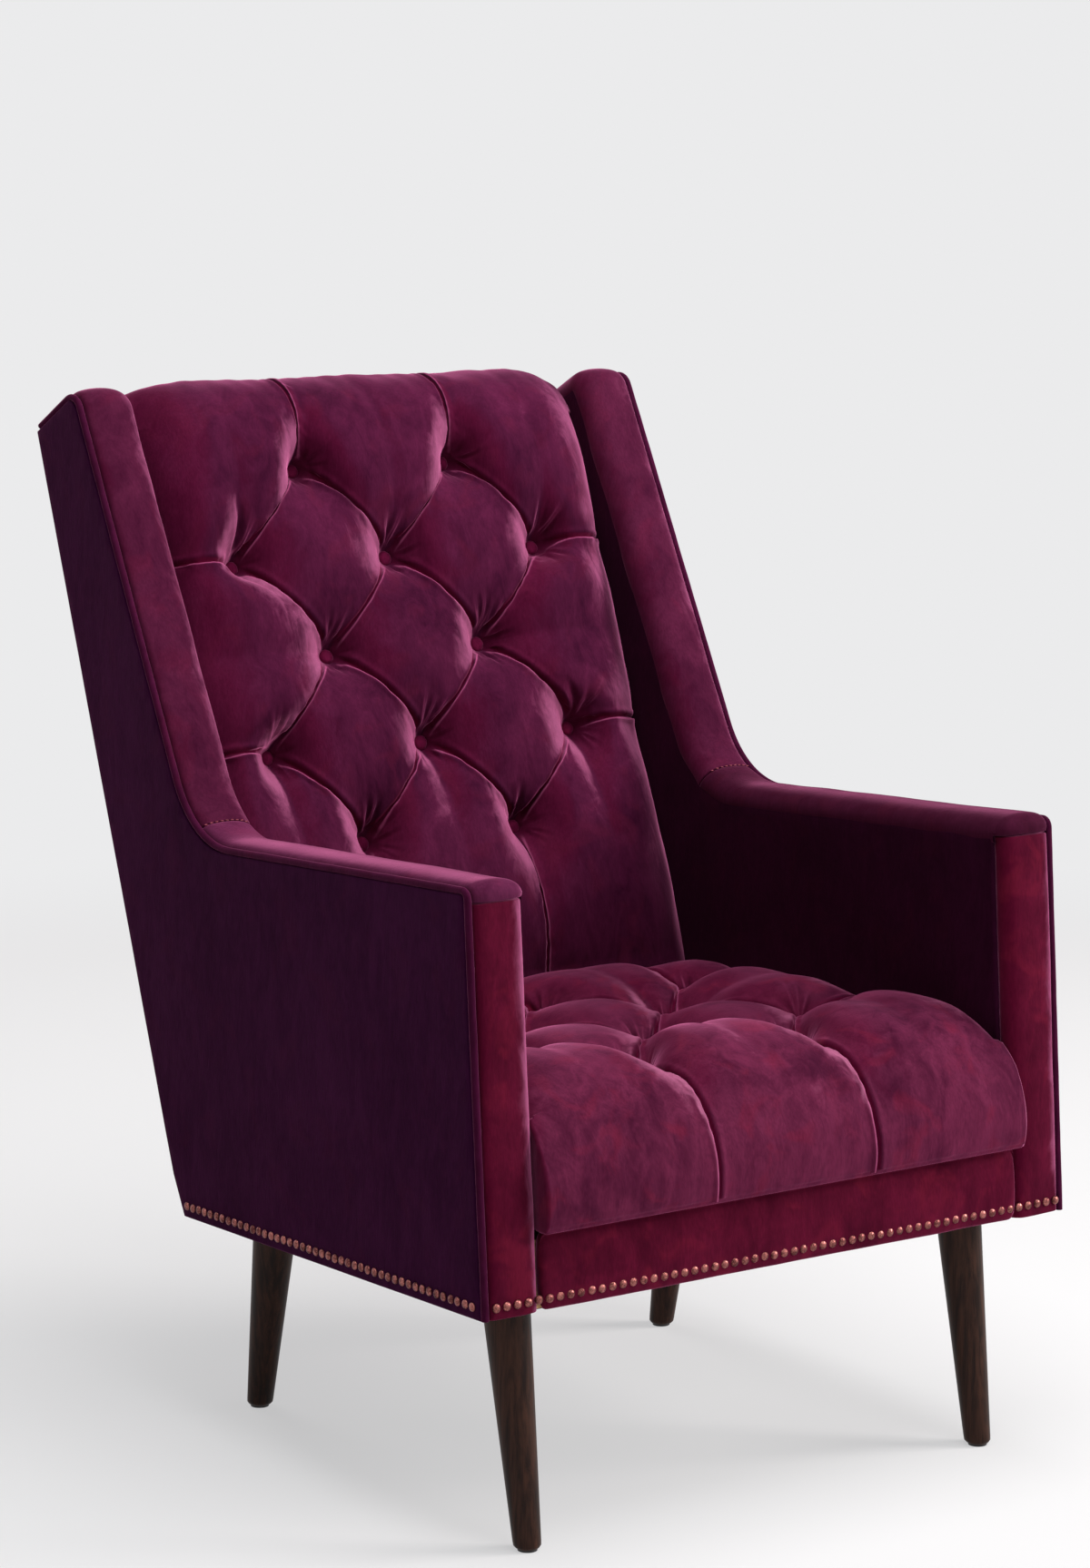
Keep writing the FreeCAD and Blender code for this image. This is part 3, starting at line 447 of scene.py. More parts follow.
def mottle(nodes: Nodes, entry: bpy.types.Node) -> Outputs:
    """Uneven colour, roughness and relief of metal, plastic, foam and woven cloth.

    Args:
        nodes: The group's node tree.
        entry: Its input node.

    Returns:
        The sockets that feed its outputs.
    """
    place = nodes.add("TexCoord").outputs["Object"]
    broad = nodes.pattern(place, entry.outputs["Scale"], detail=5.0, roughness=0.65)
    fine = nodes.pattern(place, entry.outputs["Fine scale"], detail=3.0)
    fine_share, worn_gloss = 0.4, -0.2
    uneven = nodes.math("MULTIPLY", broad, 1.0 - fine_share)
    uneven = nodes.math("MULTIPLY_ADD", fine, fine_share, uneven)
    share = nodes.ramp(uneven, low=0.38, high=0.64)
    color = nodes.mix(share, entry.outputs["Dark"], entry.outputs["Light"])
    rough = nodes.math("MULTIPLY_ADD", share, worn_gloss, entry.outputs["Rough"])
    return {"Color": color, "Roughness": rough, "Height": fine}


def blank_material(name: str) -> tuple[Nodes, bpy.types.Node]:
    """A material with only its shader and output.

    Args:
        name: The material's name.

    Returns:
        Its node tree and its principled shader.
    """
    material = bpy.data.materials.new(name)
    material.use_nodes = True
    nodes = Nodes(material.node_tree)
    return nodes, material.node_tree.nodes["Principled BSDF"]


def dressed_material(finish: "Finish", build: Builder, values: Values, own: Values) -> bpy.types.Material:
    """Make a finish's material, with colour, roughness and bump from a shader group.

    Args:
        finish: The finish, which gives the name and the height of the bump.
        build: Fills the shader group.
        values: The group's inputs.
        own: Further inputs of the principled shader.

    Returns:
        The material.
    """
    nodes, shader = blank_material(finish.name)
    effect = nodes.tree.nodes.new("ShaderNodeGroup")
    effect.node_tree = shader_group(build, values)
    for node, contents in ((effect, values), (shader, own)):
        for word, content in contents.items():
            node.inputs[word].default_value = content.linear() if isinstance(content, Tone) else content
    bump = nodes.add("Bump", {"Height": effect.outputs["Height"], "Strength": finish.relief,
                              "Distance": finish.relief_height})
    nodes.tree.links.new(effect.outputs["Color"], shader.inputs["Base Color"])
    nodes.tree.links.new(effect.outputs["Roughness"], shader.inputs["Roughness"])
    nodes.tree.links.new(bump.outputs["Normal"], shader.inputs["Normal"])
    return bpy.data.materials[finish.name]


@dataclass(frozen=True)
class Velvet:
    """Velvet with a brushed nap, with painted light: a painted highlight where slopes face the key lamp and
    along fold lips, and painted shade where slopes face away and in fold grooves.
    """

    name: str
    deep: Tone
    lift: Tone
    blush: Tone
    # Edge is the painted highlight on fold lips and crease edges; fold is the painted shade in grooves and on
    # slopes that face away; pale is the painted highlight on slopes that face the key lamp.
    edge: Tone = Tone(158, 74, 114)
    fold: Tone = Tone(84, 8, 39)
    pale: Tone = Tone(142, 74, 108)
    blush_share: float = 0.30
    patches: float = 9.0
    brushing: float = 0.8
    sheen: float = 0.9
    sheen_tone: Tone = Tone(246, 138, 192)
    sheen_roughness: float = 0.30
    gloss: float = 0.01
    relief: float = 0.35
    relief_height: float = 0.0005
    slot: str = "velvet"

    def material(self) -> bpy.types.Material:
        """Build the velvet."""
        return dressed_material(self, nap_and_painted_light, {
            "Deep": self.deep, "Lift": self.lift, "Blush": self.blush, "Edge": self.edge,
            "Fold": self.fold, "Pale": self.pale, "Blush share": self.blush_share,
            "Patches": self.patches, "Brushing": self.brushing}, {
            "Specular IOR Level": self.gloss, "Sheen Weight": self.sheen,
            "Sheen Roughness": self.sheen_roughness, "Sheen Tint": self.sheen_tone})


@dataclass(frozen=True)
class Wood:
    """Stained or raw timber."""

    name: str
    dark: Tone
    light: Tone
    scale: float = 160.0
    coat: float = 0.0
    coat_roughness: float = 0.28
    gloss: float = 0.08
    relief: float = 0.25
    relief_height: float = 0.0004
    slot: str = "frame_timber"

    def material(self) -> bpy.types.Material:
        """Build the wood."""
        return dressed_material(self, wood_grain, {
            "Dark": self.dark, "Light": self.light, "Scale": self.scale}, {
            "Specular IOR Level": self.gloss, "Coat Weight": self.coat,
            "Coat Roughness": self.coat_roughness})


@dataclass(frozen=True)
class Mottled:
    """Metal, plastic, foam or plain cloth with an uneven surface."""

    name: str
    dark: Tone
    light: Tone
    rough: float
    metallic: float = 0.0
    scale: float = 60.0
    fine_scale: float = 900.0
    relief: float = 0.2
    relief_height: float = 0.0004
    slot: str = "steel"

    def material(self) -> bpy.types.Material:
        """Build the finish."""
        return dressed_material(self, mottle, {
            "Dark": self.dark, "Light": self.light, "Scale": self.scale,
            "Fine scale": self.fine_scale, "Rough": self.rough}, {"Metallic": self.metallic})


Finish = Velvet | Wood | Mottled


class Finishes:
    """Every finish on the chair, each built once."""

    back_velvet = Velvet("back_velvet", Tone(40, 6, 27), Tone(80, 23, 53), Tone(84, 20, 44))
    # A lighter, rosier copy of the back's velvet: painted light on the seat, which faces the lamps.
    seat_velvet = Velvet("seat_velvet", Tone(44, 7, 28), Tone(102, 35, 64), Tone(109, 26, 49),
                         pale=Tone(155, 87, 118), blush_share=0.4)
    band_velvet = Velvet("band_velvet", Tone(47, 8, 30), Tone(82, 26, 53), Tone(89, 21, 47), patches=12.0)
    # A lighter copy of the band velvet: painted light on the left arm top, which faces the lamps.
    arm_velvet = Velvet("arm_top_velvet", Tone(62, 16, 42), Tone(95, 37, 69), Tone(100, 30, 58), patches=12.0,
                        sheen=1.0)
    # A darker copy of the arm-top velvet: painted shade on the right arm top.
    far_arm_velvet = Velvet("arm_top_velvet_right", Tone(40, 8, 24), Tone(66, 19, 42), Tone(70, 18, 36),
                            patches=12.0, pale=Tone(104, 44, 72), edge=Tone(128, 58, 84), sheen=0.55)
    # A darker copy of the band velvet: painted shade on the inside covers of the arms and wings.
    inner_velvet = Velvet("inner_velvet", Tone(32, 5, 22), Tone(48, 10, 34), Tone(52, 10, 30), sheen=0.35)
    # A redder copy of the band velvet: painted light of the warm key lamp on the arm fronts and the apron.
    front_velvet = Velvet("front_velvet", Tone(53, 5, 23), Tone(91, 16, 42), Tone(100, 20, 41),
                          blush_share=0.5, patches=12.0)
    # A darker, bluer copy of the band velvet: painted shade on the outer sides and the outside back.
    side_velvet = Velvet("side_velvet", Tone(35, 7, 33), Tone(54, 12, 47), Tone(56, 12, 40),
                         patches=6.0, brushing=1.1, sheen=0.35)
    welt_velvet = Velvet("welt_velvet", Tone(47, 9, 31), Tone(67, 16, 47), Tone(71, 15, 40), patches=20.0,
                         sheen=0.45)
    button_velvet = Velvet("button_velvet", Tone(69, 9, 38), Tone(107, 23, 60), Tone(115, 23, 51),
                           patches=40.0)
    thread = Mottled("seam_thread", Tone(96, 14, 34), Tone(140, 34, 56), 0.7, scale=400.0, slot="velvet")
    leg_wood = Wood("espresso_wood", Tone(27, 15, 11), Tone(64, 39, 29), coat=0.08, slot="leg_wood")
    timber = Wood("frame_beech", Tone(172, 132, 88), Tone(212, 176, 128), scale=70.0)
    board = Mottled("lining_board", Tone(120, 96, 66), Tone(156, 128, 92), 0.85, slot="lining_board")
    webbing = Mottled("jute_webbing", Tone(134, 110, 74), Tone(178, 150, 108), 0.9, scale=200.0,
                      slot="webbing", relief=0.6)
    foam = Mottled("cream_foam", Tone(206, 190, 140), Tone(232, 220, 180), 0.95, slot="foam", relief=0.5)
    steel = Mottled("zinc_steel", Tone(120, 120, 124), Tone(176, 176, 180), 0.45, metallic=1.0)
    glide = Mottled("black_glide", Tone(14, 14, 15), Tone(34, 34, 36), 0.6, slot="glide_plastic")
    cambric = Mottled("black_cambric", Tone(16, 15, 18), Tone(36, 34, 38), 0.95, scale=30.0,
                      fine_scale=1400.0, slot="dust_cloth", relief=0.6)
    copper = Mottled("antique_copper", Tone(72, 36, 36), Tone(164, 102, 96), 0.52, metallic=1.0,
                     scale=120.0, slot="nail_copper", relief=0.1)

    def __init__(self) -> None:
        """Start with nothing built."""
        self.built: dict[str, bpy.types.Material] = {}

    def get(self, finish: Finish) -> bpy.types.Material:
        """The material of a finish, built on first use."""
        if finish.name not in self.built:
            self.built[finish.name] = finish.material()
        return self.built[finish.name]


FINISHES = Finishes()


# Pieces and shared shaping

def linked(name: str, data: bpy.types.ID) -> bpy.types.Object:
    """A new object in the scene, round its data."""
    made = bpy.data.objects.new(name, data)
    bpy.context.scene.collection.objects.link(made)
    return made


def read_vectors(items: bpy.types.bpy_prop_collection, word: str) -> np.ndarray:
    """Three numbers for each item, such as the places or normals of vertices."""
    values = np.empty(len(items) * 3)
    items.foreach_get(word, values)
    return values.reshape(-1, 3)


def as_piece(bm: bmesh.types.BMesh, name: str, finish: Finish, nodes: Sequence[str] = (),
             levels: int = 0) -> bpy.types.Object:
    """Put a finished form in the scene.

    Args:
        bm: The form, already in place. It is freed.
        name: The piece's name.
        finish: Its finish.
        nodes: The frame's nodes that it stands for.
        levels: Levels of subdivision to leave on it.

    Returns:
        The piece.
    """
    bmesh.ops.recalc_face_normals(bm, faces=bm.faces[:])
    for face in bm.faces:
        face.smooth = True
    mesh = bpy.data.meshes.new(name)
    bm.to_mesh(mesh)
    bm.free()
    mesh.materials.append(FINISHES.get(finish))
    piece = linked(name, mesh)
    if levels:
        modifier = piece.modifiers.new("smooth", "SUBSURF")
        modifier.levels = levels
        modifier.render_levels = levels
    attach(piece, BODY)
    if nodes:
        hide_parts(*nodes)
    LOG.info("%s: %d faces", name, len(mesh.polygons))
    return piece


def soften(bm: bmesh.types.BMesh, amount: float, size: float, seed: float) -> None:
    """Make a padded surface a little uneven.

    Args:
        bm: The form.
        amount: Greatest movement along the normals.
        size: Size of a swelling.
        seed: Moves the pattern, so that no two pieces are alike.
    """
    bm.normal_update()
    for vertex in bm.verts:
        place = vertex.co / size + Vector([seed * share for share in SEED_SHARES])
        vertex.co += vertex.normal * (amount * noise.noise(place))


def paint_facing_light(mesh: bpy.types.Mesh, normals: np.ndarray, steepest: float, share: float = 1.0) -> None:
    """Paint light by facing: a painted highlight on slopes that face +X, towards the key lamp, and painted
    shade on slopes that face -X.

    Args:
        mesh: The cloth's mesh.
        normals: A normal for each vertex.
        steepest: The X part of the normal at which the painted light is fullest.
        share: How strongly the light and shade are painted.
    """
    # The "lean" attribute holds the painted light: positive for a painted highlight, negative for painted
    # shade.
    lean = mesh.attributes.new("lean", "FLOAT", "POINT")
    lean.data.foreach_set("value", share * np.clip(normals[:, 0] / steepest, -1.0, 1.0))


def loft(rings: Sequence[Sequence[Vector]]) -> bmesh.types.BMesh:
    """Extrude a closed ring of corners through further rings, and close both ends.

    Args:
        rings: Rings with the same number of corners, in order.

    Returns:
        The closed form.
    """
    bm = bmesh.new()
    corners = [bm.verts.new(place) for place in rings[0]]
    edges = [bm.edges.new((corners[number - 1], corners[number])) for number in range(len(corners))]
    bm.faces.new(corners)
    for ring in rings[1:]:
        grown = bmesh.ops.extrude_edge_only(bm, edges=edges)["geom"]
        fresh = {item for item in grown if isinstance(item, bmesh.types.BMVert)}
        following = []
        for corner in corners:
            vertex = next(edge.other_vert(corner) for edge in corner.link_edges
                          if edge.other_vert(corner) in fresh)
            following.append(vertex)
        for vertex, place in zip(following, ring):
            vertex.co = place
        edges = [item for item in grown if isinstance(item, bmesh.types.BMEdge)
                 and item.verts[0] in fresh and item.verts[1] in fresh]
        corners = following
    bmesh.ops.contextual_create(bm, geom=edges)
    return bm


def with_close_ends(stations: Sequence[Station], gaps: Sequence[float] = (0.0015, 0.005),
                    clearance: float = 1.4) -> list[Station]:
    """Add stations close to both ends of a path, so that a rolled end keeps its shape.

    Args:
        stations: The path.
        gaps: Distances of the new stations from each end.
        clearance: How many times the widest gap the path's own next stations keep away.

    Returns:
        The new path.
    """
    first, last = stations[0], stations[-1]
    front = [Station(first.point + first.along * gap, first.along) for gap in gaps]
    back = [Station(last.point - last.along * gap, last.along) for gap in reversed(gaps)]
    clear = gaps[-1] * clearance
    middle = [station for station in stations[1:-1] if (station.point - first.point).length > clear
              and (station.point - last.point).length > clear]
    return [first, *front, *middle, *back, last]


def swept(section: Sequence[tuple[float, float]], stations: Sequence[Station], side: Side,
          tuck: float = 0.0, reach: float = 0.007, nailed: float = 0.0, pressed: float = 0.12,
          nail_share: float = 0.6) -> bmesh.types.BMesh:
    """Sweep a closed section along a path in the side view.

    Args:
        section: Corners of the section, as distance from the middle plane and depth.
        stations: The path.
        side: The side of the chair.
        tuck: How far the section sinks at both ends, as a seam pulls it in.
        reach: How far from an end the sinking starts.
        nailed: Height over which nails hold the padding flat at the start.
        pressed: What they leave of the padding's crown.
        nail_share: Share of that height below which it is flattest.

    Returns:
        The closed form.
    """
    stations = with_close_ends(stations)
    lengths = [0.0]
    for before, after in zip(stations, stations[1:]):
        lengths.append(lengths[-1] + (after.point - before.point).length)
    rings = []
    for station, length in zip(stations, lengths):
        near = min(length, lengths[-1] - length)
        sink = tuck * max(0.0, 1.0 - near / reach) ** 2
        full = 1.0
        if nailed:
            risen = min(1.0, max(0.0, length - nail_share * nailed) / nailed)
            full = pressed + (1.0 - pressed) * risen
        rings.append([station.point + ACROSS * (side.value * x)
                      + station.inward * ((depth if depth > 0.0 else depth * full) + sink)
                      for x, depth in section])
    return loft(rings)


def circle(radius: float, count: int, x: float) -> list[tuple[float, float]]:
    """A round section, at a distance from the middle plane."""
    turns = [math.tau * number / count for number in range(count)]
    return [(x + radius * math.cos(turn), radius * math.sin(turn)) for turn in turns]


def slab(outline: Sequence[Vector], x: float, thickness: float, side: Side, cell: float,
         round_edge: float, facing: int) -> bmesh.types.BMesh:
    """A flat cover with a rounded edge, cut from a face with the outline of the side view.

    Args:
        outline: The outline's corners, in the side view.
        x: Distance of the shown face from the middle plane.
        thickness: Its thickness, away from the shown face.
        side: The side of the chair.
        cell: Size of the squares that it is divided into.
        round_edge: Radius of its rounded edge.
        facing: 1 where the shown face looks away from the middle plane, -1 where it looks at it.

    Returns:
        The closed form.
    """
    bm = bmesh.new()
    face = bm.faces.new([bm.verts.new(Vector((side.value * x, place.y, place.z))) for place in outline])
    hidden = bmesh.ops.extrude_face_region(bm, geom=[face])["geom"]
    moved = [item for item in hidden if isinstance(item, bmesh.types.BMVert)]
    bmesh.ops.translate(bm, verts=moved, vec=ACROSS * (-facing * side.value * thickness))
    shown = side.value * x
    rim = [edge for edge in bm.edges
           if all(abs(vertex.co.x - shown) < TOUCHING for vertex in edge.verts)]
    bmesh.ops.bevel(bm, geom=rim, offset=round_edge, segments=3, profile=0.5, affect="EDGES", material=-1)
    for axis in (1, 2):
        low = min(vertex.co[axis] for vertex in bm.verts)
        high = max(vertex.co[axis] for vertex in bm.verts)
        normal = Vector((0.0, axis == 1, axis == 2))
        for number in range(1, math.ceil((high - low) / cell)):
            place = normal * (low + number * cell)
            bmesh.ops.bisect_plane(bm, geom=bm.verts[:] + bm.edges[:] + bm.faces[:], dist=TOUCHING,
                                   plane_co=place, plane_no=normal)
    return bm


def softened_copy(node: str, name: str, finish: Finish, width: float) -> bpy.types.Object:
    """Stand a copy with softened edges for a plain hidden soft form.

    Args:
        node: The frame's node.
        name: The piece's name.
        finish: Its finish.
        width: Width of the softened edges.

    Returns:
        The piece.
    """
    bm = bmesh.new()
    bm.from_mesh(frame["nodes"][node].data)
    merge, flat_angle, sharp_angle = 1e-5, 0.01, 0.6
    bmesh.ops.remove_doubles(bm, verts=bm.verts[:], dist=merge)
    bmesh.ops.dissolve_limit(bm, angle_limit=flat_angle, verts=bm.verts[:], edges=bm.edges[:])
    sharp = [edge for edge in bm.edges
             if len(edge.link_faces) == 2 and edge.calc_face_angle(0.0) > sharp_angle]
    bmesh.ops.bevel(bm, geom=sharp, offset=width, segments=2, profile=0.5, affect="EDGES", material=-1)
    return as_piece(bm, name, finish, [node])


# Tufted pads

def bernstein(degree: int, share: np.ndarray) -> np.ndarray:
    """Weights of a Bezier curve's poles at places along it."""
    return np.stack([math.comb(degree, number) * share ** number * (1.0 - share) ** (degree - number)
                     for number in range(degree + 1)], axis=-1)


def spread(share: np.ndarray, crowding: float = 0.55) -> np.ndarray:
    """Crowd places towards both ends, where the pleats are."""
    return (1.0 - crowding) * share + crowding * (0.5 - 0.5 * np.cos(np.pi * share))


def rise(values: np.ndarray, start: float, reach: float) -> np.ndarray:
    """0 up to a start, then in a straight line to 1 at a reach beyond it."""
    return np.clip((values - start) / reach, 0.0, 1.0)


def fall(values: np.ndarray, end: float, reach: float) -> np.ndarray:
    """1 up to a reach before an end, then in a straight line to 0."""
    return np.clip((end - values) / reach, 0.0, 1.0)


@dataclass(frozen=True)
class Ridge:
    """Section of a bump beside a line."""

    height: float
    middle: float
    width: float

    def at(self, signed: np.ndarray) -> np.ndarray:
        """Its height at signed distances from the line."""
        return self.height * np.exp(-((signed - self.middle) / self.width) ** 2)


@dataclass(frozen=True)
class Pleat:
    """A fold in the velvet, in flat places across and along the pad."""

    start: tuple[float, float]
    end: tuple[float, float]
    lip: tuple[float, float]
    open_end: bool = False


@dataclass(frozen=True)
class PleatShape:
    """Section of a sewn pleat, the light and shade painted along it, how it fades near its buttons and how
    firmly it is held.
    """

    lip: Ridge = Ridge(0.0022, 0.0018, 0.0026)
    groove: Ridge = Ridge(0.0024, -0.0028, 0.0024)
    second_fold: Ridge = Ridge(0.0010, -0.0092, 0.0030)
    overhang: Ridge = Ridge(0.0016, 0.0012, 0.0022)
    # A painted highlight along the lip and painted shade in the groove, as shares of the painted light.
    painted_lip_highlight: Ridge = Ridge(1.0, 0.0014, 0.0011)
    shaded_edge: Ridge = Ridge(0.9, -0.0036, 0.0034)
    reach: float = 0.016
    bare: float = 0.004
    fade: float = 0.016
    sewn: float = 0.0010
    held_reach: float = 0.004
    unsmoothed: float = 0.0065


@dataclass(frozen=True)
class CreaseKind:
    """Creases of one kind round a button: directions in degrees, ranges of reach and depth."""

    turns: tuple[float, ...]
    reach: tuple[float, float]
    depth: tuple[float, float]


@dataclass(frozen=True)
class CreaseShape:
    """The creases that a button draws in, the highlight painted beside them, and the pit that it lies in."""

    kinds: tuple[CreaseKind, ...] = (
        CreaseKind((96.0, 80.0, 64.0, 48.0), (0.040, 0.062), (0.0024, 0.0034)),
        CreaseKind((-58.0, -72.0, -40.0, 8.0), (0.024, 0.038), (0.0014, 0.0022)))
    wobble: float = 6.0
    width: tuple[float, float] = (0.0020, 0.0028)
    bend: float = 4.0
    furthest: float = 0.075
    bare: float = 0.007
    start: float = 0.007
    taper: float = 0.024
    least_width_share: float = 0.7
    widening: float = 0.060
    beside_share: float = 0.5
    beside_middle: float = 2.0
    # A painted highlight beside each crease: its share, its distance and its width, in crease widths.
    painted_highlight_share: float = 0.5
    painted_highlight_middle: float = 1.9
    painted_highlight_width: float = 0.4
    roll_share: float = 0.70
    roll_fade_share: float = 0.20
    pit: Ridge = Ridge(0.0028, 0.0, 0.0125)


@dataclass(frozen=True)
class Swell:
    """How the velvet swells under its filling, as a cloth simulation."""

    frames: int = 20
    pressure: float = 3.0
    ease: float = -0.035
    most: float = 0.007
    quality: int = 5
    mass: float = 0.4
    stretch: float = 12.0
    shear: float = 4.0
    bending: float = 0.08


@dataclass(frozen=True)
class Crumple:
    """Uneven swellings and ripples of hand-worked velvet."""

    swell: float = 0.0010
    swell_size: float = 0.045
    ripple: float = 0.0005
    roll_ripple: float = 0.0011
    roll_share: float = 0.8
    ripple_sizes: tuple[float, float, float] = (0.018, 0.05, 0.06)

    def at(self, place: np.ndarray, seed: float, on_roll: bool) -> float:
        """How far a place is moved along its normal.

        Args:
            place: The place.
            seed: Moves the pattern, so that no two pads are alike.
            on_roll: Whether the place is on the rolled edge, where ripples are deeper.

        Returns:
            The movement.
        """
        across, run, up = self.ripple_sizes
        swell = noise.noise(Vector(place) / self.swell_size + Vector((seed, 0.0, 0.0)))
        ripple = noise.noise(Vector((place[0] / across, place[1] / run, place[2] / up + seed)))
        return self.swell * swell + (self.roll_ripple if on_roll else self.ripple) * ripple


@dataclass
class Relief:
    """Movements of a pad's fine mesh and the light painted on it, gathered before they are applied."""

    flat: np.ndarray
    places: np.ndarray
    normals: np.ndarray
    shown: np.ndarray
    nearest: np.ndarray
    shift: np.ndarray
    # Light painted along pleats and creases: above 0 a painted highlight, below 0 painted shade.
    light: np.ndarray

    def push(self, amounts: np.ndarray) -> None:
        """Move each place along its normal."""
        self.shift += self.normals * amounts[:, None]


@dataclass
class TuftedPad:
    """A buttoned pad. Its top is a set of curved patches that meet in pleats between the
    buttons. Places are (x, run, rise): run is measured from the rolled edge."""

    prefix: str
    rows: int
    length: float
    first_row: float
    row_pitch: float
    button_level: float
    crown: float
    heights: dict[str, float]
    roll: dict[str, tuple[tuple[float, float], ...]]
    seam: tuple[float, float]
    foot_run: float
    under: float
    frame: Matrix
    velvet: Velvet
    lip_sign: float
    roll_length: float
    seed: int
    half: float = 0.2977
    half_pitch: float = 0.1008
    cells: int = 22
    roll_cells: int = 38
    roll_crowding: float = 1.25
    wall: tuple[tuple[float, float], ...] = ((0.10, 0.8), (0.35, 1.0), (1.0, 0.3), (2.0, 0.0))
    tail: float = 0.012
    button_radius: float = 0.0094
    button_thickness: float = 0.0050
    button_sink: float = 0.0050
    button_tilt: float = 0.10
    dimple_rise: float = 0.0015
    dimple_depth: float = 0.0070
    dimple_reach: float = 0.026
    front_half: float = 0.3030
    front_run: float = 0.030
    front_side: tuple[float, float] = (0.25, 0.045)
    rim_width: float = 0.022
    rim_drop: float = 0.0075
    seam_run: float = 0.02
    underside: float = -0.3
    # Painted light by facing: the slope at which it is fullest, its gain on plain cloth and its extra gain
    # near the buttons, within a reach.
    steepest: float = 0.42
    painted_light_flat: float = 0.35
    painted_light_button: float = 0.75
    painted_light_reach: float = 0.058
    pleat: PleatShape = PleatShape()
    creases: CreaseShape = CreaseShape()
    crumple: Crumple = Crumple()
    swell: Swell = Swell()

    def height(self, kind: str) -> float:
        """Height of a pleat's or seam's middle above the outer face."""
        return self.button_level + self.crown * self.heights[kind]

    def corner(self, column: int | str, row: int) -> np.ndarray:
        """A button, or the end of a pleat at the side."""
        x = self.half if column == "side" else column * self.half_pitch
        rise = self.height("side_pleat") if column == "side" else self.button_level
        return np.array([x, self.first_row + row * self.row_pitch, rise])

    def pleat_pole(self, start: np.ndarray, end: np.ndarray) -> np.ndarray:
        """Middle pole of a pleat, lifted so that the pleat peaks at its own height."""
        middle = (start + end) / 2.0
        middle[2] = 2.0 * self.height("pleat") - middle[2]
        return middle

    def add_patch(self, bm: bmesh.types.BMesh, poles: Sequence[Sequence[np.ndarray]],
                  flat_end: float | None = None, mirrored: bool = True) -> None:
        """Shape a grid into a Bezier patch, and its mirror image on the other side.

        Args:
            bm: The pad so far.
            poles: Rows of poles.
            flat_end: Flat run at the patch's far end, where it rolls over an edge.
            mirrored: Whether the other side of the pad gets one as well.
        """
        flat = bm.verts.layers.float_vector["quilt"]
        poles = np.array(poles)
        cells = self.roll_cells if poles.shape[1] > 3 else self.cells
        for sign in ((1.0, -1.0) if mirrored else (1.0,)):
            grid = bmesh.ops.create_grid(bm, x_segments=self.cells, y_segments=cells, size=0.5)["verts"]
            shares = np.array([vertex.co[:2] for vertex in grid]) + 0.5
            across = spread(shares[:, 0])
            along = spread(shares[:, 1]) if cells == self.cells else shares[:, 1] ** self.roll_crowding
            points = np.einsum("ni,nj,ijk->nk", bernstein(poles.shape[0] - 1, across),
                               bernstein(poles.shape[1] - 1, along), poles)
            runs = points[:, 1]
            if flat_end is not None:
                starts = np.einsum("ni,ik->nk", bernstein(poles.shape[0] - 1, across), poles[:, 0])[:, 1]
                runs = starts + (flat_end - starts) * along
            for vertex, point, run in zip(grid, points, runs):
                vertex.co = (sign * point[0], point[1], point[2])
                vertex[flat] = (sign * point[0], run, 0.0)

    def add_diamond(self, bm: bmesh.types.BMesh, column: int, row: int) -> None:
        """A full diamond between four buttons.

        Args:
            bm: The pad so far.
            column: The diamond's column.
            row: Its row.
        """
        near, far = self.corner(column, row - 1), self.corner(column, row + 1)
        left, right = self.corner(column - 1, row), self.corner(column + 1, row)
        rise = self.button_level + 4.0 * (self.crown - (self.height("pleat") - self.button_level))
        self.add_patch(bm, [
            [near, self.pleat_pole(near, left), left],
            [self.pleat_pole(near, right), np.array([near[0], left[1], rise]), self.pleat_pole(left, far)],
            [right, self.pleat_pole(right, far), far]], mirrored=column > 0)

    def add_side_cell(self, bm: bmesh.types.BMesh, row: int) -> None:
        """Two patches between an inner button and the side, split along their ridge.

        Args:
            bm: The pad so far.
            row: The button's row.
        """
        inner = self.corner(1, row)
        rim = np.array([self.half, inner[1], self.height("side")])
        rise = 2.0 * (self.button_level + self.crown) - (inner[2] + rim[2]) / 2.0
        ridge = np.array([(inner[0] + rim[0]) / 2.0, inner[1], rise])
        for away in (-1, 1):
            button, side = self.corner(2, row + away), self.corner("side", row + away)
            end = self.pleat_pole(button, side)
            run = (inner[1] + button[1]) / 2.0
            self.add_patch(bm, [
                [inner, self.pleat_pole(inner, button), button],
                [ridge, np.array([(ridge[0] + end[0]) / 2.0, run, rise]), end],
                [rim, np.array([self.half, run, rim[2]]), side]])

    def roll_column(self, start: np.ndarray, kind: str) -> list[np.ndarray]:
        """Poles over the rolled edge, down to the seam.

        Args:
            start: Where the column starts.
            kind: What it follows: a ridge, a pleat or the border.

        Returns:
            The poles.
        """
        seam_run, seam_rise = self.seam
        full = self.button_level + self.crown - seam_rise
        poles = [start]
        for forward, share in self.roll[kind]:
            poles.append(np.array([start[0], start[1] + forward * (seam_run - start[1]),
                                   seam_rise + share * full]))
        return poles + [np.array([start[0], seam_run, seam_rise])]

    def end_column(self, start: np.ndarray, kind: str) -> list[np.ndarray]:
        """Poles back to the pad's far end.

        Args:
            start: Where the column starts.
            kind: What it follows: a ridge, a pleat or the border.

        Returns:
            The poles.
        """
        peak = self.button_level + self.crown
        if kind != "ridge":
            peak = self.height("pleat" if kind == "pleat" else "side")
        end_rise = self.height({"ridge": "end_ridge", "pleat": "end_pleat", "border": "side"}[kind])
        end = np.array([start[0], self.length, end_rise])
        middle = np.array([start[0], (start[1] + end[1]) / 2.0, 2.0 * peak - (start[2] + end_rise) / 2.0])
        return [start, middle, end]

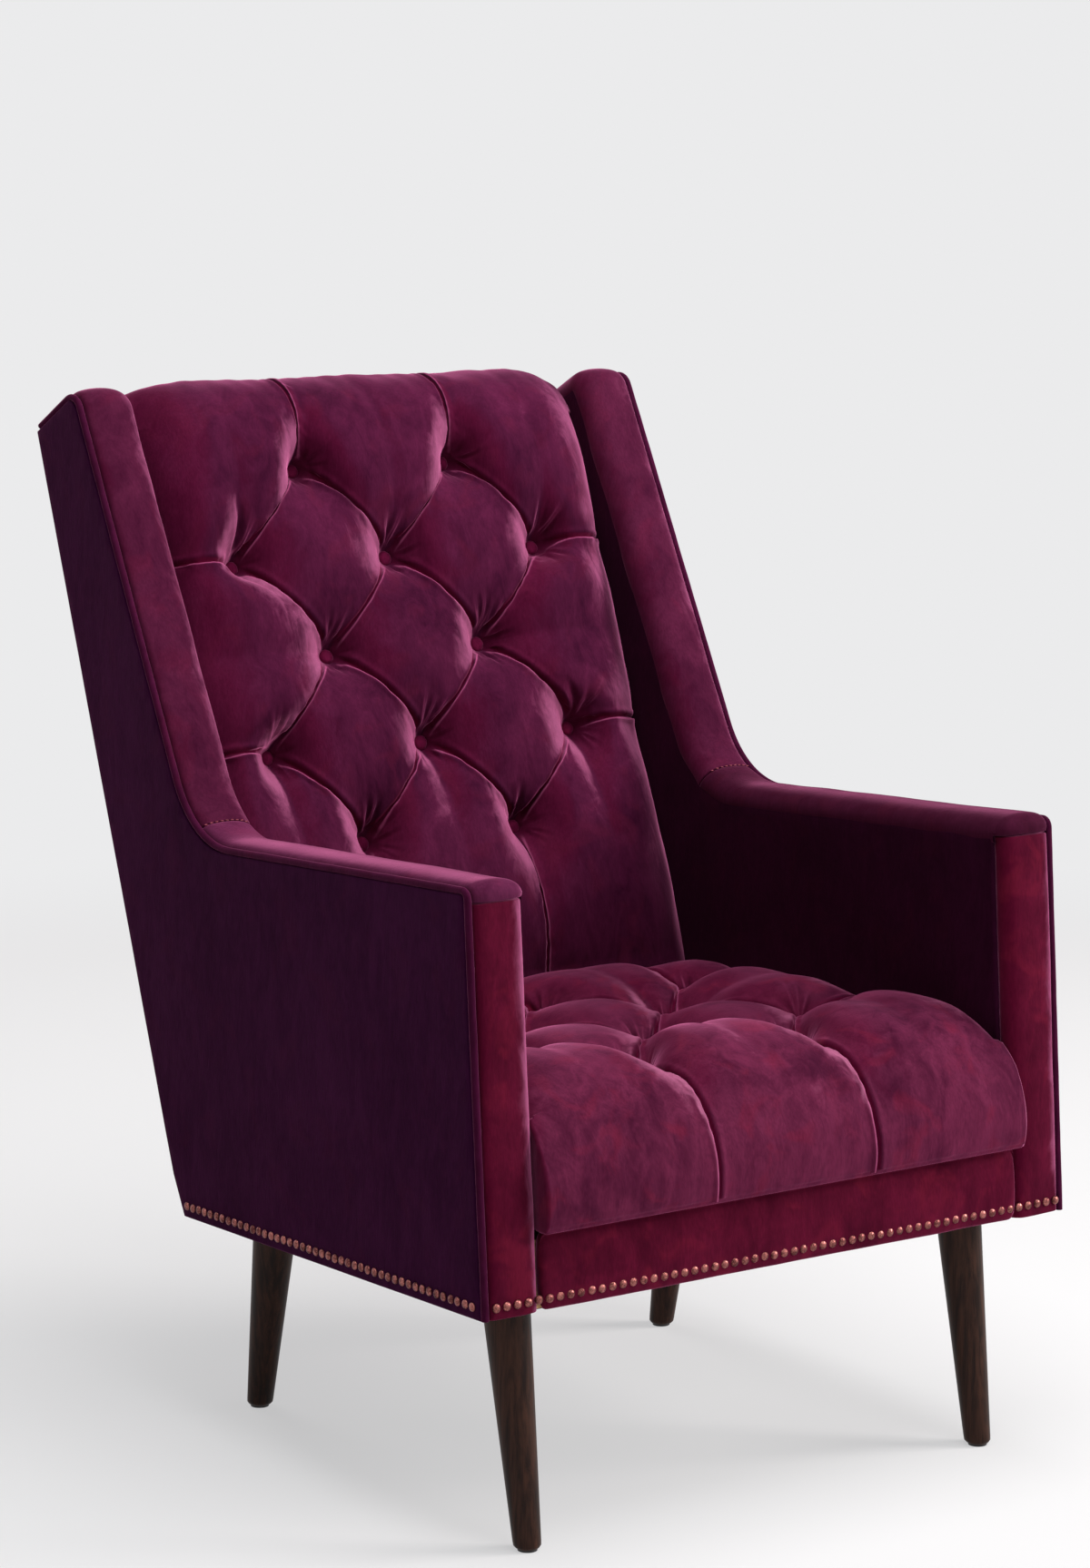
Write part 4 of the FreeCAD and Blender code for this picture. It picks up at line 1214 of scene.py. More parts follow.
    def add_strips(self, bm: bmesh.types.BMesh, columns: Sequence[tuple[str, list[np.ndarray]]],
                   flat_end: float | None = None) -> None:
        """Patches between neighbouring columns of poles, smooth across the ridges.

        Args:
            bm: The pad so far.
            columns: Each column's kind and poles, from the middle to the side.
            flat_end: Flat run at their far end, where they roll over an edge.
        """
        for (_kind, poles), (other_kind, other) in zip(columns, columns[1:]):
            crest = other if other_kind == "ridge" else poles
            x = (poles[0][0] + other[0][0]) / 2.0
            middle = [np.array([x, pole[1], pole[2]]) for pole in crest]
            middle[0] = self.pleat_pole(poles[0], other[0])
            self.add_patch(bm, [poles, middle, other], flat_end)

    def last_kinds(self) -> list[tuple[str, int | str, int]]:
        """Kind, column and row of the poles' columns at the far end.

        Returns:
            The columns, from the middle to the side.
        """
        last = self.rows - 1
        if last % 2 == 0:
            return [("ridge", 0, last - 1), ("pleat", 1, last), ("ridge", 2, last - 1),
                    ("border", "side", last - 1)]
        return [("pleat", 0, last), ("ridge", 1, last - 1), ("pleat", 2, last), ("border", "side", last)]

    def skin(self) -> bmesh.types.BMesh:
        """The closed pad, in its own flat frame.

        Returns:
            The pad, not yet swollen.
        """
        bm = bmesh.new()
        bm.verts.layers.float_vector.new("quilt")
        for row in range(1, self.rows - 1):
            if row % 2 == 0:
                self.add_diamond(bm, 0, row)
                self.add_side_cell(bm, row)
            else:
                self.add_diamond(bm, 1, row)
        first_kinds = (("ridge", 0, 1), ("pleat", 1, 0), ("ridge", 2, 1), ("border", "side", 1))
        self.add_strips(bm, [(kind, self.roll_column(self.corner(column, row), kind))
                             for kind, column, row in first_kinds], self.first_row - self.roll_length)
        self.add_strips(bm, [(kind, self.end_column(self.corner(column, row), kind))
                             for kind, column, row in self.last_kinds()])
        bmesh.ops.remove_doubles(bm, verts=bm.verts[:], dist=WELD)
        rim = [edge for edge in bm.edges if edge.is_boundary]
        for share, bulge in self.wall:
            grown = bmesh.ops.extrude_edge_only(bm, edges=rim)["geom"]
            for item in grown:
                if isinstance(item, bmesh.types.BMVert):
                    self.lower(item.co, share, bulge)
            rim = [item for item in grown if isinstance(item, bmesh.types.BMEdge) and item.is_boundary]
        bmesh.ops.remove_doubles(bm, verts=bm.verts[:], dist=WELD)
        rim = [edge for edge in bm.edges if edge.is_boundary]
        bmesh.ops.triangle_fill(bm, edges=rim, use_beauty=True)
        bmesh.ops.recalc_face_normals(bm, faces=bm.faces[:])
        return bm

    def lower(self, place: Vector, share: float, bulge: float) -> None:
        """Move a corner of the pad's rim down its wall.

        Args:
            place: The corner, which is moved.
            share: Share of the way down to the foot of the wall, or 2 for the underside.
            bulge: How much of the tail's bulge it takes.
        """
        at_tail = place.y > self.length - 2.0 * WELD
        foot_rise = min(place.z, self.under) if share <= 1.0 else self.under
        foot = Vector((place.x, max(place.y, self.foot_run), foot_rise))
        if at_tail:
            foot.y = self.length
        place.xyz = place.lerp(foot, min(share, 1.0))
        if at_tail:
            place.y = self.length + self.tail * bulge

    def buttons(self) -> Iterator[tuple[int, int]]:
        """Every button's column and row, from the rolled edge to the far end."""
        for row in range(self.rows):
            for column in ((-1, 1) if row % 2 == 0 else (-2, 0, 2)):
                yield column, row

    def spots(self) -> dict[tuple[int, int], tuple[float, float]]:
        """Flat places of the buttons, by column and row."""
        return {(column, row): (column * self.half_pitch, self.first_row + row * self.row_pitch)
                for column, row in self.buttons()}

    def pleats(self) -> list[Pleat]:
        """Every fold, with the side that its lip is on.

        Returns:
            The folds.
        """
        spots = self.spots()
        folds = []
        for (column, row), spot in spots.items():
            for away in (-1, 1):
                other = spots.get((column + away, row + 1))
                if other:
                    folds.append(Pleat(spot, other, (0.0, self.lip_sign)))
            if abs(column) == 2:
                end = (math.copysign(self.half, column), spot[1])
                folds.append(Pleat(spot, end, (0.0, self.lip_sign), open_end=True))
            if row == 0:
                end = (spot[0], self.first_row - self.roll_length)
                folds.append(Pleat(spot, end, (-1.0, 0.0), open_end=True))
            if row == self.rows - 1:
                folds.append(Pleat(spot, (spot[0], self.length), (-1.0, 0.0), open_end=True))
        return folds

    def inflate(self, piece: bpy.types.Object, held: np.ndarray) -> None:
        """Let the velvet swell between its pleats, and keep the result.

        Args:
            piece: The pad.
            held: How firmly each vertex is held, from 0 to 1.
        """
        mesh, swell = piece.data, self.swell
        before = read_vectors(mesh.vertices, "co")
        group = piece.vertex_groups.new(name="held")
        loosest = 0.01
        for number in np.nonzero(held > loosest)[0]:
            group.add([int(number)], float(held[number]), "REPLACE")
        cloth = piece.modifiers.new("swell", "CLOTH")
        settings = cloth.settings
        settings.quality = swell.quality
        settings.mass = swell.mass
        settings.tension_stiffness = swell.stretch
        settings.compression_stiffness = swell.stretch
        settings.shear_stiffness = swell.shear
        settings.bending_stiffness = swell.bending
        settings.vertex_group_mass = group.name
        settings.pin_stiffness = 1.0
        settings.shrink_min = swell.ease
        settings.use_pressure = True
        settings.uniform_pressure_force = swell.pressure
        settings.effector_weights.gravity = 0.0
        cloth.collision_settings.use_collision = False
        cloth.collision_settings.use_self_collision = False
        cloth.point_cache.frame_start = 1
        cloth.point_cache.frame_end = swell.frames
        for number in range(1, swell.frames + 1):
            bpy.context.scene.frame_set(number)
        view = bpy.context.evaluated_depsgraph_get()
        swollen = piece.evaluated_get(view).to_mesh()
        moved = read_vectors(swollen.vertices, "co") - before
        piece.evaluated_get(view).to_mesh_clear()
        piece.modifiers.remove(cloth)
        piece.vertex_groups.remove(group)
        bpy.context.scene.frame_set(1)
        lengths = np.linalg.norm(moved, axis=1, keepdims=True)
        LOG.info("%s: swells %.1f mm at most", piece.name, 1000.0 * float(lengths.max()))
        moved /= 1.0 + lengths / swell.most
        mesh.vertices.foreach_set("co", (before + moved).ravel())
        mesh.update()

    def hold(self, mesh: bpy.types.Mesh) -> np.ndarray:
        """How firmly the sewn pleats, buttons, walls and underside are held.

        Args:
            mesh: The pad's mesh, in its own frame.

        Returns:
            A share for each vertex.
        """
        flat, places = self.flat_places(mesh)
        held = np.zeros(len(places))
        for fold in self.pleats():
            away = along_fold(flat, fold)[0]
            held = np.maximum(held, 1.0 - rise(away, self.pleat.sewn, self.pleat.held_reach))
        wall_height, side_margin, tail_margin, seam_height = 0.004, 0.0008, 0.0015, 0.002
        wall = places[:, 2] < self.under + wall_height
        edge = np.abs(places[:, 0]) > self.half - side_margin
        tail = places[:, 1] > self.length - tail_margin
        seam = (places[:, 1] < self.seam_run) & (places[:, 2] < self.seam[1] + seam_height)
        held[wall | edge | tail | seam] = 1.0
        return held

    def flat_places(self, mesh: bpy.types.Mesh) -> tuple[np.ndarray, np.ndarray]:
        """Read the flat places and the real places of a mesh's vertices.

        Args:
            mesh: The pad's mesh, in its own frame.

        Returns:
            The flat places, with two numbers each, and the real ones, with three.
        """
        flat = read_vectors(mesh.attributes["quilt"].data, "vector")
        return flat[:, :2], read_vectors(mesh.vertices, "co")

    def ease_ridges(self, mesh: bpy.types.Mesh, turns: int = 9) -> None:
        """Smooth the cloth between its pleats, where two patches meet.

        Args:
            mesh: The pad's mesh, in its own frame.
            turns: How often each place is moved towards its neighbours.
        """
        flat, _places = self.flat_places(mesh)
        free = self.hold(mesh) == 0.0
        for fold in self.pleats():
            free &= along_fold(flat, fold)[0] > self.pleat.unsmoothed
        bm = bmesh.new()
        bm.from_mesh(mesh)
        loose = [vertex for vertex, moves in zip(bm.verts, free) if moves]
        for _turn in range(turns):
            bmesh.ops.smooth_vert(bm, verts=loose, factor=0.5,
                                  use_axis_x=True, use_axis_y=True, use_axis_z=True)
        bm.to_mesh(mesh)
        bm.free()

    def relief_of(self, mesh: bpy.types.Mesh) -> Relief:
        """Start the relief of a finely divided pad.

        Args:
            mesh: The pad's mesh, in its own frame.

        Returns:
            The relief, with nothing moved yet.
        """
        flat, places = self.flat_places(mesh)
        normals = read_vectors(mesh.vertices, "normal")
        spots = np.array(list(self.spots().values()))
        nearest = np.min(np.linalg.norm(flat[:, None] - spots[None], axis=2), axis=1)
        return Relief(flat, places, normals, normals[:, 2] > self.underside, nearest,
                      np.zeros_like(places), np.zeros(len(places)))

    def shape_rims(self, relief: Relief) -> None:
        """Press dimples round the buttons, widen the front and round off the rims.

        Args:
            relief: The pad's relief so far.
        """
        dip = np.exp(-(relief.nearest / self.dimple_reach) ** 2)
        relief.push(relief.shown * (self.dimple_rise - (self.dimple_rise + self.dimple_depth) * dip))
        x, run = relief.places[:, 0], relief.places[:, 1]
        front = fall(run, self.front_run, self.front_run) * rise(np.abs(x), *self.front_side)
        relief.shift[:, 0] += np.sign(x) * front * (self.front_half - self.half)
        rim = rise(np.abs(x) - self.half, -self.rim_width, self.rim_width) * relief.shown
        relief.shift[:, 2] -= self.rim_drop * rim ** 2 * (run > self.seam_run)

    def fold_pleat(self, relief: Relief, fold: Pleat) -> None:
        """Turn a pleat into a fold: a proud lip on one side, a deep groove on the other, with a painted
        highlight on the lip and painted shade in the groove.

        Args:
            relief: The pad's relief so far.
            fold: The pleat.
        """
        shape = self.pleat
        away, share, signed = along_fold(relief.flat, fold)
        length = math.dist(fold.start, fold.end)
        fade = rise(share * length, shape.bare, shape.fade)
        if not fold.open_end:
            fade = fade * rise((1.0 - share) * length, shape.bare, shape.fade)
        fade = fade * (away < shape.reach) * relief.shown
        section = shape.lip.at(signed) * fade + shape.second_fold.at(signed) * fade
        relief.push(section - shape.groove.at(signed) * fade)
        across = np.array([-fold.lip[0], -fold.lip[1]])
        along = np.array(fold.end) - np.array(fold.start)
        along /= np.linalg.norm(along)
        across = across - along * float(across @ along)
        across /= np.linalg.norm(across)
        lean = shape.overhang.at(signed) * fade
        relief.shift[:, 0] += across[0] * lean
        over_roll = fold.lip[1] == 0.0 and fold.end[1] <= self.first_row
        if not over_roll:
            relief.shift[:, 1] += across[1] * lean
        # Painted highlight along the lip, painted shade in the groove.
        relief.light += shape.painted_lip_highlight.at(signed) * fade
        relief.light -= shape.shaded_edge.at(signed) * fade

    def draw_creases(self, relief: Relief, spot: np.ndarray, draw: random.Random) -> None:
        """Draw short creases and a pit in round a button, with a painted highlight beside each crease.

        Args:
            relief: The pad's relief so far.
            spot: The button's flat place.
            draw: Gives each crease its own direction and size.
        """
        shape, flat = self.creases, relief.flat
        offset = flat - spot
        radius = np.linalg.norm(offset, axis=1)
        near = (radius < shape.furthest) & relief.shown
        turn = np.arctan2(offset[:, 1] * -self.lip_sign, offset[:, 0] * self.frame[0][0])
        kinds = [(kind, middle) for kind in shape.kinds for middle in kind.turns]
        angles = [math.radians(middle + draw.uniform(-shape.wobble, shape.wobble))
                  for _kind, middle in kinds]
        for (kind, _middle), angle in zip(kinds, angles):
            reach = draw.uniform(*kind.reach)
            depth = draw.uniform(*kind.depth)
            width = draw.uniform(*shape.width)
            bend = draw.uniform(-shape.bend, shape.bend)
            gap = (turn - angle - bend * radius + math.pi) % math.tau - math.pi
            fade = rise(radius, shape.bare, shape.start) * fall(radius, reach, shape.taper)
            fade *= rise(flat[:, 1] / self.first_row, shape.roll_share, shape.roll_fade_share)
            gaps = gap * radius / (width * (shape.least_width_share + radius / shape.widening))
            valley, beside = Ridge(1.0, 0.0, 1.0), Ridge(shape.beside_share, shape.beside_middle, 1.0)
            painted_highlight = Ridge(shape.painted_highlight_share, shape.painted_highlight_middle, shape.painted_highlight_width)
            # Painted highlight beside the crease.
            relief.light += painted_highlight.at(gaps) * near * fade
            relief.push(-depth * fade * (valley.at(gaps) - beside.at(gaps)) * near)
        relief.shift[:, 2] -= shape.pit.at(radius) * near

    def fold_over(self, mesh: bpy.types.Mesh) -> None:
        """Work the rims, pleats, creases and crumples into a pad, and paint light and shade on it along its
        folds and by how its slopes face the key lamp.

        Args:
            mesh: The finely divided pad, in its own frame.
        """
        relief = self.relief_of(mesh)
        self.shape_rims(relief)
        for fold in self.pleats():
            self.fold_pleat(relief, fold)
        draw = random.Random(self.seed)
        for spot in self.spots().values():
            self.draw_creases(relief, np.array(spot), draw)
        on_roll = relief.flat[:, 1] < self.crumple.roll_share * self.first_row
        for number in np.nonzero(relief.shown)[0]:
            moved = self.crumple.at(relief.places[number], self.seed, on_roll[number])
            relief.shift[number] += relief.normals[number] * moved
        mesh.vertices.foreach_set("co", (relief.places + relief.shift).ravel())
        # The "lip" attribute carries the light painted along pleats and creases.
        mesh.attributes.new("lip", "FLOAT", "POINT").data.foreach_set("value", relief.light)
        # Painted light by facing: slopes that face +X get a painted highlight, stronger near the buttons;
        # slopes that face -X get painted shade.
        painted_light_gain = self.painted_light_flat + self.painted_light_button * np.exp(
            -(relief.nearest / self.painted_light_reach) ** 2)
        turned = relief.normals @ np.array(self.frame.to_3x3()).T
        turned[:, 0] *= np.where(turned[:, 0] > 0.0, painted_light_gain, 1.0)
        paint_facing_light(mesh, turned, self.steepest)
        mesh.attributes.remove(mesh.attributes["quilt"])
        mesh.update()

    def build(self) -> bpy.types.Object:
        """Make the pad, swell it, fold its pleats and put it in its place.

        Returns:
            The pad.
        """
        pad = as_piece(self.skin(), f"{self.prefix}_tufted_velvet", self.velvet,
                       [f"{self.prefix}_tufted_pad"])
        self.inflate(pad, self.hold(pad.data))
        self.ease_ridges(pad.data)
        modifier = pad.modifiers.new("fine", "SUBSURF")
        modifier.levels = 2
        modifier.render_levels = 2
        view = bpy.context.evaluated_depsgraph_get()
        fine = bpy.data.meshes.new_from_object(pad.evaluated_get(view), depsgraph=view)
        pad.modifiers.remove(modifier)
        coarse = pad.data
        pad.data = fine
        bpy.data.meshes.remove(coarse)
        self.fold_over(fine)
        fine.transform(self.frame)
        for polygon in fine.polygons:
            polygon.use_smooth = True
        LOG.info("%s: %d faces", pad.name, len(fine.polygons))
        return pad

    def build_buttons(self) -> bpy.types.Object:
        """Velvet-covered buttons, each pulled a little askew by its twine.

        Returns:
            The buttons, as one piece.
        """
        bm = bmesh.new()
        draw = random.Random(self.seed + 50)
        flatness, fullness = 3.2, 0.75
        for x, run in self.spots().values():
            place = Matrix.Translation((x, run, self.button_level - self.button_sink))
            tilt = (Matrix.Rotation(draw.uniform(-self.button_tilt, self.button_tilt), 4, "X")
                    @ Matrix.Rotation(draw.uniform(-self.button_tilt, self.button_tilt), 4, "Y"))
            size = Matrix.Diagonal((self.button_radius, self.button_radius, self.button_thickness, 1.0))
            made = bmesh.ops.create_uvsphere(bm, u_segments=28, v_segments=14, radius=1.0)["verts"]
            for vertex in made:
                reach = min(1.0, math.hypot(vertex.co.x, vertex.co.y))
                vertex.co.z = math.copysign((1.0 - reach ** flatness) ** fullness, vertex.co.z)
            bmesh.ops.transform(bm, matrix=place @ tilt @ size, verts=made)
        soften(bm, amount=0.0003, size=0.004, seed=self.seed)
        bmesh.ops.transform(bm, matrix=self.frame, verts=bm.verts[:])
        return as_piece(bm, f"{self.prefix}_velvet_buttons", Finishes.button_velvet,
                        [f"{self.prefix}_buttons"])


def along_fold(flat: np.ndarray, fold: Pleat) -> tuple[np.ndarray, np.ndarray, np.ndarray]:
    """Measure flat places against a fold.

    Args:
        flat: Flat places.
        fold: The fold.

    Returns:
        Distance from the fold, share of the way along it, and signed distance from its
        line, which is positive on the side of the lip.
    """
    start, end = np.array(fold.start), np.array(fold.end)
    along = end - start
    length = np.linalg.norm(along)
    along = along / length
    offset = flat - start
    share = np.clip(offset @ along / length, 0.0, 1.0)
    square = np.array([-along[1], along[0]])
    if square @ np.array(fold.lip) < 0.0:
        square = -square
    away = np.linalg.norm(offset - share[:, None] * length * along, axis=1)
    return away, share, offset @ square


# Side covers

@dataclass
class SideCovers:
    """Bands, panels and piping of one arm and wing."""

    side: Side
    lines: BodyLines
    seed: float = 1.0
    band_section: tuple[tuple[float, float], ...] = (
        (0.3626, 0.0090), (0.3624, 0.0040), (0.3612, 0.0004), (0.3580, -0.0020), (0.3510, -0.0040),
        (0.3400, -0.0052), (0.3280, -0.0052), (0.3160, -0.0036), (0.3070, 0.0000), (0.3010, 0.0055),
        (0.2980, 0.0125), (0.2976, 0.0190), (0.2992, 0.0250), (0.3080, 0.0240), (0.3300, 0.0120),
        (0.3540, 0.0110))
    front_section: tuple[tuple[float, float], ...] = (
        (0.3626, 0.0110), (0.3624, 0.0045), (0.3610, 0.0006), (0.3570, -0.0022), (0.3490, -0.0036),
        (0.3380, -0.0042), (0.3270, -0.0040), (0.3160, -0.0026), (0.3085, 0.0006), (0.3045, 0.0052),
        (0.3030, 0.0100), (0.3026, 0.0180), (0.3080, 0.0200), (0.3300, 0.0118), (0.3540, 0.0118))
    crown_corners: tuple[int, int] = (2, 10)
    seam_drop: float = 0.0165
    least_round: float = 0.003
    # Slope at which the bands' painted light is fullest.
    facing_light_steepest: float = 0.50
    stitch_pitch: float = 0.0062
    stitch_span: tuple[float, float] = (0.306, 0.358)
    stitch_size: tuple[float, float] = (0.0021, 0.0007)
    stitch_rise: float = 0.0014
    stitch_skew: float = 0.25
    shown_gap: float = 0.0004
    inner_inset: float = 0.0165
    inner_end: float = 0.052

    def rim(self, inset: float, step: float = 0.02, arc_steps: int = 10) -> list[Station]:
        """Follow the outer edge from the lower front over the arm and the wing to the back.

        Args:
            inset: How far inside the outer lines.
            step: Distance between stations on a straight run.
            arc_steps: Steps on each arc.

        Returns:
            The stations.
        """
        lines = self.lines
        corners = [
            lines.base.meet(lines.front, 0.0, inset), lines.front.meet(lines.arm, inset, inset),
            lines.arm.meet(lines.wing, inset, inset), lines.wing.meet(lines.top, inset, inset),
            lines.top.meet(lines.rear, inset, lines.panel_depth)]
        radii = (max(lines.front_round - inset, self.least_round), lines.arm_wing_round + inset,
                 max(lines.wing_top_round - inset, self.least_round))
        return rounded_path(corners, radii, step, arc_steps)

    def bands(self) -> None:
        """The padded front, arm top and wing front, each its own piece between seams."""
        lines, side = self.lines, self.side
        path = self.rim(0.0)
        corner = lines.front.meet(lines.arm)
        elbow = lines.arm.meet(lines.wing)
        near_corner, upright = 0.02, 0.9
        front_end = max(number for number, station in enumerate(path)
                        if (station.point - corner).length > self.seam_drop
                        and station.point.z < corner.z and station.point.y < corner.y + near_corner
                        and station.along.z > upright)
        middle = min(range(len(path)), key=lambda number: (path[number].point - elbow).length)
        along = path[front_end].along
        seam = Station(corner - along * self.seam_drop, along)
        # The right arm top gets a darker copy of the velvet, painted shade, the left one a lighter copy,
        # painted light; each band's lean is how strongly light is painted on it by facing.
        arm_velvet = Finishes.far_arm_velvet if side is Side.RIGHT else Finishes.arm_velvet
        band = swept(self.front_section, path[:front_end] + [seam], side, tuck=0.0010, nailed=0.028)
        soften(band, amount=0.0009, size=0.05, seed=self.seed)
        self.dress(band, "arm_front", Finishes.front_velvet, lean=0.85)
        arm = [seam] + path[front_end + 1:middle + 1]
        band = swept(self.band_section, arm, side, tuck=0.0022)
        soften(band, amount=0.0010, size=0.05, seed=self.seed + 3.0)
        self.dress(band, "arm_top", arm_velvet, lean=0.25)
        band = swept(self.band_section, path[middle:], side, tuck=0.0022)
        soften(band, amount=0.0012, size=0.05, seed=self.seed + 6.0)
        self.dress(band, "wing_front", Finishes.band_velvet, lean=0.50)
        self.stitches(path[middle])

    def dress(self, band: bmesh.types.BMesh, place: str, finish: Finish, lean: float) -> None:
        """Give a band its velvet and its painted light by facing.

        Args:
            band: The band's mesh.
            place: Which of the chair's bands it is.
            finish: Its velvet.
            lean: How strongly light and shade are painted on it by facing.
        """
        piece = as_piece(band, f"{place}_cover_{self.side.word}", finish,
                         [f"{place}_band_{self.side.word}"], levels=2)
        paint_facing_light(piece.data, read_vectors(piece.data.vertices, "normal"), self.facing_light_steepest, lean)

    def stitches(self, station: Station) -> None:
        """Sew short stitches across the seam between arm and wing.

        Args:
            station: Where the seam crosses the path.
        """
        bm = bmesh.new()
        draw = random.Random(int(self.seed) + 11)
        inner, outer = self.stitch_span
        length, thickness = self.stitch_size
        size = Matrix.Diagonal((length, thickness, thickness, 1.0))
        across, depths = zip(*sorted(self.band_section[slice(*self.crown_corners)]))
        for number in range(int((outer - inner) / self.stitch_pitch) + 1):
            x = outer - number * self.stitch_pitch
            depth = np.interp(x, across, depths) + self.stitch_rise
            place = station.point + ACROSS * (self.side.value * x) + station.inward * depth
            skew = station.along * draw.uniform(-self.stitch_skew, self.stitch_skew)
            turn = ACROSS.rotation_difference(ACROSS + skew).to_matrix().to_4x4()
            bmesh.ops.create_uvsphere(bm, u_segments=8, v_segments=5, radius=1.0,
                                      matrix=Matrix.Translation(place) @ turn @ size)
        as_piece(bm, f"elbow_stitches_{self.side.word}", Finishes.thread)

    def welt(self) -> None:
        """Velvet-covered piping along the outer edge."""
        lines = self.lines
        radius = lines.welt_radius
        section = circle(radius, count=10, x=lines.half_width - radius)
        tube = swept(section, self.rim(radius, step=0.012), self.side)
        soften(tube, amount=0.00035, size=0.016, seed=self.seed + 9.0)
        as_piece(tube, f"welt_piping_{self.side.word}", Finishes.welt_velvet,
                 [f"welt_{self.side.word}"], levels=1)

    def outer_panel(self) -> None:
        """The plain outside cover of arm and wing."""
        lines = self.lines
        overlap = 0.0008
        inset = 2.0 * lines.welt_radius - overlap
        outline = [station.point for station in self.rim(inset, step=0.04)]
        outline[-1] = lines.top.meet(lines.rear, inset, 0.0)
        outline += [lines.rear.meet(lines.heel), lines.heel.meet(lines.base)]
        panel = slab(outline, lines.half_width - self.shown_gap, thickness=0.0046, side=self.side,
                     cell=0.014, round_edge=0.0022, facing=1)
        self.quilted_waves(panel, amount=0.0009, seed=self.seed + 20.0, facing=1)
        piece = as_piece(panel, f"outer_cover_{self.side.word}", Finishes.side_velvet,
                         [f"outer_panel_{self.side.word}"])

    def inner_panel(self) -> None:
        """The padded inside cover of arm and wing."""
        lines, inset, end = self.lines, self.inner_inset, self.inner_end
        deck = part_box(f"inner_panel_{self.side.word}")[0].z - lines.front.z
        outline = [lines.base.meet(lines.front, deck, inset)]
        outline += [station.point for station in self.rim(inset, step=0.04)[1:]]
        outline[-1] = lines.top.meet(lines.rear, inset, end)
        outline.append(lines.base.meet(lines.rear, deck, end))
        panel = slab(outline, lines.pad_side - self.shown_gap / 2.0, thickness=0.0050, side=self.side,
                     cell=0.020, round_edge=0.0028, facing=-1)
        self.quilted_waves(panel, amount=0.0012, seed=self.seed + 30.0, facing=-1)
        piece = as_piece(panel, f"inner_cover_{self.side.word}", Finishes.inner_velvet,
                         [f"inner_panel_{self.side.word}"])

    def quilted_waves(self, panel: bmesh.types.BMesh, amount: float, seed: float, facing: int) -> None:
        """Swell a stretched cover faintly, in shapes drawn long by its upright pull.

        Args:
            panel: The cover's mesh.
            amount: Depth of the waves, from crest to valley.
            seed: Moves the pattern, so that no two covers are alike.
            facing: As for its slab.
        """
        broad_share, broad_size, small_size, small_seed = 0.7, (0.10, 0.22), (0.03, 0.07), 5.0
        for vertex in panel.verts:
            y, z = vertex.co.y, vertex.co.z
            broad = noise.noise(Vector((seed, y / broad_size[0], z / broad_size[1])))
            small = noise.noise(Vector((seed + small_seed, y / small_size[0], z / small_size[1])))
            wave = broad_share * broad + (1.0 - broad_share) * small
            vertex.co.x += self.side.value * facing * amount * wave / 2.0

    def build(self) -> None:
        """Make every cover of this side."""
        self.bands()
        self.welt()
        self.outer_panel()
        self.inner_panel()


